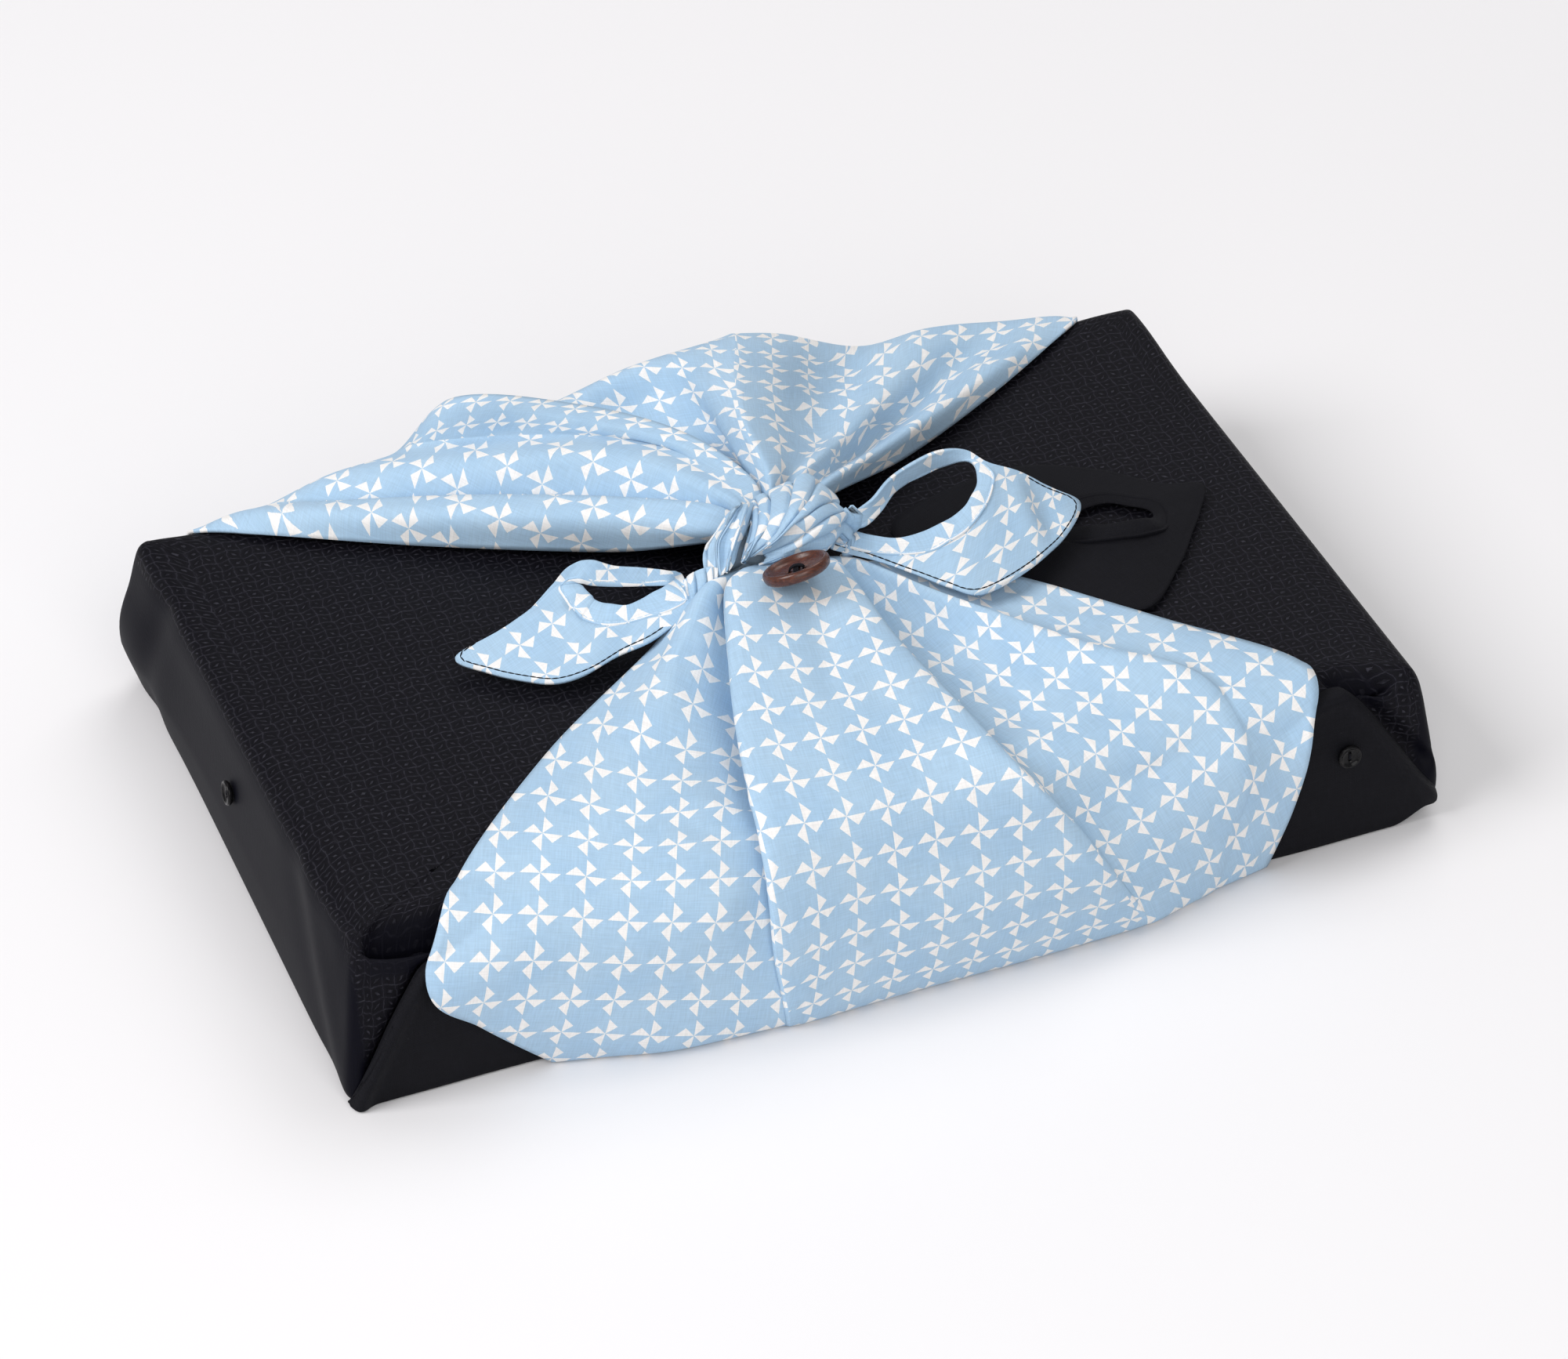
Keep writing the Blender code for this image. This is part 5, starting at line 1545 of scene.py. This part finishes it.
knot = {
    "centre": (8, 8, 92),
    # crests of the folds, from where they gather to where they turn under
    "cap": (
        ("gap edge", (-14, -6, 100), (-11, -2, 103), (-7, 3, 106), (-4, 8, 107)),
        ("crest one", (-14, -7, 100.5), (-10, -4, 105), (-6, 1, 109), (-3, 8, 110), (1, 20, 107)),
        ("crest two", (-12, -7, 101), (-8, -6, 108), (-3, 0, 113), (2, 12, 112), (4, 21, 109)),
        ("crest three", (-11, -6, 101), (-4, -7, 110), (1, -4, 116), (8, 10, 115), (12, 21, 111)),
        ("crest four", (-9, -6, 101), (-2, -11, 111), (4, -10, 118), (12, -1, 119), (25, 22, 113)),
        ("crest five", (-8, -6, 101), (-1, -12, 111), (7, -12, 118), (19, -3, 118), (30, 11, 111)),
        ("crest six", (-6, -6, 101), (2, -12, 110), (12, -12, 116), (22, -6, 115), (31, 1, 109)),
        ("crest seven", (-4, -7, 100), (5, -15, 107), (15, -15, 111), (26, -8, 110), (36, 2, 105)),
        ("crest eight", (-7, -8, 98), (1, -12, 102), (10, -14, 104), (20, -13, 103), (30, -4, 101)),
        ("underside", (-7, -6, 94), (1, -9, 96), (10, -10, 97), (20, -9, 97), (29, -2, 97)),
    ),
    "band": (
        ("right edge", (0, 16, 110), (-2, 12, 109), (-7, 5, 106), (-12, 0, 103), (-16, -5, 100),
         (-19, -7, 98)),
        ("right ridge", (-3, 14, 112), (-7, 7, 113), (-12, 0, 111), (-16, -4, 107), (-19, -6, 102),
         (-20, -7, 98)),
        ("middle crease", (-4, 15, 111), (-9, 10, 111), (-13, 5, 109), (-18, 1, 105), (-20, -3, 100),
         (-22, -7, 97)),
        ("middle ridge", (-5, 15, 111), (-10, 9, 112), (-15, 5, 110), (-20, 1, 107), (-22, -3, 102),
         (-23, -7, 97)),
        ("left crease", (-6, 17, 109), (-11, 13, 109), (-16, 9, 107), (-20, 6, 104), (-23, 2, 100),
         (-26, -5, 96)),
        ("left edge", (-7, 20, 106), (-12, 16, 106), (-18, 11, 104), (-24, 6, 102), (-26, 4, 98),
         (-28, -4, 95)),
        ("left under", (-4, 20, 101), (-10, 17, 100), (-16, 12, 98), (-21, 8, 96), (-23, 5, 94),
         (-25, 0, 91)),
    ),
    "wrap": (
        ("right side", (-23, -5, 99), (-25, -9, 95), (-27, -12, 91), (-28, -15, 87)),
        ("ridge one", (-26, -4, 100), (-27, -8, 97), (-29, -12, 92), (-30, -16, 87)),
        ("ridge two", (-30, -3, 99), (-31, -7, 96), (-32, -11, 91), (-33, -15, 86)),
        ("ridge three", (-34, -2, 97), (-35, -5, 94), (-36, -9, 90), (-37, -13, 85)),
        ("left side", (-36, 1, 92), (-37, -2, 90), (-37, -6, 87), (-37, -10, 84)),
    ),
    "cores": (
        ((6, 10, 94), (18, 14, 9)),
        ((13, 8, 99), (15, 12, 10)),
        ((-14, 8, 95), (9, 7, 7)),
        ((2, 8, 85), (17, 11, 11)),
    ),
    "along": 44, "steps": 14,
    # the cut of each gathered part, laid flat
    "flat": {"cap": (0.100, 0.060), "band": (0.045, 0.030), "wrap": (0.030, 0.022)},
    "depth": {"cap": 2.9, "band": 1.4, "wrap": 3.0},        # of the creases between the folds
    "crease": ((0.2, 1.5), (0.8, 9)),   # share and sharpness of its soft and its narrow part
    "turnUnder": {"cap": 9.0, "band": 0.0, "wrap": 0.0},    # how far the far ends go under
    "thickness": 1.0,
    "fill": 0.9,
    # places, and the print's repeats that fall there
    "pins": {
        "cap": (((12, -1, 119), (0, 0)), ((1, -4, 116), (-0.9, 0))),
        "band": (((-12, 0, 111), (0, 0)), ((-16, -4, 107), (0, -0.4))),
        "wrap": (((-12, 0, 111), (0, 0)), ((-16, -4, 107), (0, -0.4))),
    },
}


def evenLine(points, count):
    fine = smoothLine(points, 16)
    run = np.concatenate([[0], np.cumsum(np.linalg.norm(np.diff(fine, axis=0), axis=1))])
    return np.stack([np.interp(np.linspace(0, run[-1], count), run, fine[:, k]) for k in range(3)],
                    axis=1)


# Cloth gathered into folds: crests along the lines, with a sharp crease between each two.
def foldedFan(name, label):
    lines, turnUnder = knot[label], knot["turnUnder"][label]
    even = np.array([evenLine(points, knot["along"]) for _, *points in lines])
    if turnUnder:
        centre = np.array(knot["centre"], float)
        tails = []
        for share in (0.35, 0.7, 1.0):
            away = unit((even[:, -1] - centre) * (1, 1, 0))
            tails.append(even[:, -1] + away * turnUnder * 0.35 * math.sin(math.pi * share)
                         - np.array((0, 0, turnUnder)) * share)
        even = np.concatenate([even, np.array(tails).transpose(1, 0, 2)], axis=1)
    grid = smoothLine(even, knot["steps"])
    share = np.arange(len(grid)) / knot["steps"] % 1
    near = 1 - np.abs(2 * share - 1)
    dip = knot["depth"][label] * sum(part * near ** sharp for part, sharp in knot["crease"])
    normals = gridNormals(grid)
    outward = grid - np.array(knot["centre"], float)
    if (normals * outward).sum() < 0:
        normals = -normals
    fade = np.minimum(1, 0.25 + np.arange(grid.shape[1]) / 12)
    grid = (grid - normals * dip[:, None, None] * fade[None, :, None]) * mm
    faces = gridFaces(*grid.shape[:2])
    if (gridNormals(grid) * normals).sum() < 0:
        faces = [tuple(reversed(face)) for face in faces]
    uv = turnedPrint(developed(grid, 1), grid, knot["pins"][label])
    piece = makePiece(name, grid, faces, "print", uv=uv)
    return thicken(piece, knot["thickness"] * mm, -1)


def knotCore(name):
    built = bmesh.new()
    for centre, radii in knot["cores"]:
        made = bmesh.ops.create_icosphere(built, subdivisions=4, radius=1.0)
        for vert in made["verts"]:
            vert.co = [c * mm + v * r * mm for c, v, r in zip(centre, vert.co, radii)]
    mesh = bpy.data.meshes.new(name)
    built.to_mesh(mesh)
    built.free()
    mesh.materials.append(finishes["print"])
    mesh.uv_layers.new(name="cloth")
    mesh.shade_smooth()
    piece = bpy.data.objects.new(name, mesh)
    scene.collection.objects.link(piece)
    return piece


def wholeKnot():
    core = knotCore("knotCore")
    fit(core, "printed_cloth", "knot")
    for label in ("cap", "band", "wrap"):
        fan = foldedFan("knot" + label.capitalize(), label)
        fit(fan, "printed_cloth")


# Buttons

coatButton = {
    "at": (0, -30, 109), "faces": (-0.17, 0.42, 0.89), "size": 27.2, "thick": 5.2, "sides": 96,
    # radius and height, as shares of the radius and of the thickness
    "profile": ((0.0, -0.50), (0.55, -0.50), (0.80, -0.46), (0.90, -0.38), (0.965, -0.24),
                (0.992, -0.05), (1.0, 0.12), (0.992, 0.30), (0.965, 0.43), (0.925, 0.495),
                (0.885, 0.50), (0.85, 0.43), (0.81, 0.26), (0.76, 0.10), (0.66, 0.0), (0.42, -0.06),
                (0.0, -0.08)),
    "holes": 4, "holeRing": 3.0, "holeRadius": 1.0, "material": "wood", "slot": "button_wood",
    "thread": {"strands": 3, "radius": 0.44, "arch": 1.7, "sunk": 0.6},
}
smallButton = {
    "size": 10.0, "thick": 2.4, "sides": 64,
    "profile": ((0.0, -0.50), (0.60, -0.50), (0.86, -0.40), (0.97, -0.18), (1.0, 0.08), (0.985, 0.28),
                (0.93, 0.44), (0.86, 0.50), (0.79, 0.44), (0.70, 0.24), (0.58, 0.12), (0.35, 0.05),
                (0.0, 0.04)),
    "holes": 2, "holeRing": 1.3, "holeRadius": 0.7, "material": "gloss", "slot": "black_button",
    "thread": {"strands": 2, "radius": 0.28, "arch": 0.6, "sunk": 0.2},
    # name, node, place, the way it faces
    "places": (
        ("endButton", "end_button", (-223.6, 5, 42), (-1, 0, 0.09)),
        ("flapButton", "flap_button", (185, -141.9, 42), (0, -1, 0.09)),
    ),
}


def faceFrame(looks):
    face = np.array(looks, float)
    face /= np.linalg.norm(face)
    side = np.cross((0.0, 0.0, 1.0) if abs(face[2]) < 0.9 else (0.0, 1.0, 0.0), face)
    side /= np.linalg.norm(side)
    return side, np.cross(face, side), face


def turnedButton(name, node, spec, at, looks):
    side, top, face = faceFrame(looks)
    centre = np.array(at) * mm
    radius, thick = spec["size"] / 2 * mm, spec["thick"] * mm
    built = bmesh.new()
    rings = []
    for share, height in spec["profile"]:
        middle = centre + face * height * thick
        if share == 0:
            rings.append([built.verts.new(middle)])
            continue
        ring = []
        for k in range(spec["sides"]):
            turn = 2 * math.pi * k / spec["sides"]
            ring.append(built.verts.new(middle + (side * math.cos(turn) + top * math.sin(turn))
                                        * share * radius))
        rings.append(ring)
    for a, b in zip(rings, rings[1:]):
        for k in range(spec["sides"]):
            n = (k + 1) % spec["sides"]
            corners = [a[k % len(a)], a[n % len(a)], b[n % len(b)], b[k % len(b)]]
            built.faces.new(list(dict.fromkeys(corners)))
    bmesh.ops.recalc_face_normals(built, faces=built.faces)
    mesh = bpy.data.meshes.new(name)
    built.to_mesh(mesh)
    built.free()
    mesh.materials.append(finishes[spec["material"]])
    mesh.shade_smooth()
    piece = bpy.data.objects.new(name, mesh)
    scene.collection.objects.link(piece)
    places = []
    for number in range(spec["holes"]):
        turn = 2 * math.pi * (number + 0.5) / spec["holes"]
        away = (side * math.cos(turn) + top * math.sin(turn)) * spec["holeRing"] * mm
        places.append(centre + away)
        drillHole(piece, centre + away, (side, top, face), spec["holeRadius"] * mm, thick)
    fit(piece, spec["slot"], node)
    buttonThread(name + "Thread", places, face, spec)


def drillHole(piece, centre, directions, radius, thick, sides=24):
    side, top, face = directions
    points = []
    for end in (-1, 1):
        for k in range(sides):
            turn = 2 * math.pi * k / sides
            points.append(centre + face * end * thick
                          + (side * math.cos(turn) + top * math.sin(turn)) * radius)
    faces = [(k, (k + 1) % sides, sides + (k + 1) % sides, sides + k) for k in range(sides)]
    faces += [tuple(reversed(range(sides))), tuple(range(sides, 2 * sides))]
    mesh = bpy.data.meshes.new("drill")
    mesh.from_pydata([tuple(p) for p in points], [], faces)
    drill = bpy.data.objects.new("drill", mesh)
    scene.collection.objects.link(drill)
    cut = piece.modifiers.new("hole", "BOOLEAN")
    cut.operation = "DIFFERENCE"
    cut.solver = "EXACT"
    cut.object = drill
    applyModifiers(piece)
    bpy.data.objects.remove(drill, do_unlink=True)


# Points and faces of a round thread along a path, with closed ends.
def tube(path, radius, sides=8):
    path = np.asarray(path, float)
    way = unit(np.gradient(path, axis=0))
    across = unit(np.cross(way, (0.3, 0.5, 0.81)))
    over = np.cross(way, across)
    turns = np.linspace(0, 2 * math.pi, sides, endpoint=False)
    rings = path[:, None] + radius * (across[:, None] * np.cos(turns)[None, :, None]
                                      + over[:, None] * np.sin(turns)[None, :, None])
    faces = []
    for i in range(len(path) - 1):
        for k in range(sides):
            n = (k + 1) % sides
            faces.append((i * sides + k, (i + 1) * sides + k, (i + 1) * sides + n, i * sides + n))
    last = (len(path) - 1) * sides
    faces += [tuple(range(sides)), tuple(reversed(range(last, last + sides)))]
    return rings.reshape(-1, 3), faces


# The thread that holds a button on, from each hole to the one across from it.
def buttonThread(name, places, face, spec):
    points, faces = [], []
    half = len(places) // 2
    rule = spec["thread"]
    face = unit(np.array(face, float))
    for number in range(half):
        start, end = places[number], places[number + half]
        beside = unit(np.cross(end - start, face))
        for strand in range(rule["strands"]):
            shift = beside * (strand - (rule["strands"] - 1) / 2) * rule["radius"] * 1.7 * mm
            path = []
            for share in np.linspace(0, 1, 13):
                arch = math.sin(math.pi * share) ** 0.5 * rule["arch"] - rule["sunk"]
                path.append(start + (end - start) * share + shift
                            + face * (arch + number * rule["radius"] * 1.5) * mm)
            ringPoints, ringFaces = tube(path, rule["radius"] * mm)
            offset = sum(len(p) for p in points)
            points.append(ringPoints)
            faces += [tuple(v + offset for v in ringFace) for ringFace in ringFaces]
    piece = makePiece(name, np.concatenate(points), faces, "blackThread")
    outwards(piece)
    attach(piece, "root")


def applyModifiers(piece):
    evaluated = piece.evaluated_get(bpy.context.evaluated_depsgraph_get())
    mesh = bpy.data.meshes.new_from_object(evaluated)
    piece.modifiers.clear()
    piece.data = mesh


bodyCloth()
flapCloth("frontFlap", -1, "front_flap")
flapCloth("backFlap", 1, "back_flap")
print("black cloth")
printedPanel("frontPanel", frontPanel, "front_panel")
printedPanel("backPanel", backPanel, "back_panel")
print("printed panels")

for name, spec, finish, slot, node in (("rightTab", rightTab, "print", "printed_cloth", "right_tab"),
                                       ("leftTab", leftTab, "print", "printed_cloth", "left_tab"),
                                       ("bodyTab", bodyTab, "plain", "plain_black_cloth", "body_tab")):
    boundTab(name, spec, finish, slot, node)
print("tabs")

wholeKnot()
print("knot")

turnedButton("coatButton", "coat_button", coatButton, coatButton["at"], coatButton["faces"])
for name, node, at, faces in smallButton["places"]:
    turnedButton(name, node, smallButton, at, faces)
print("buttons")
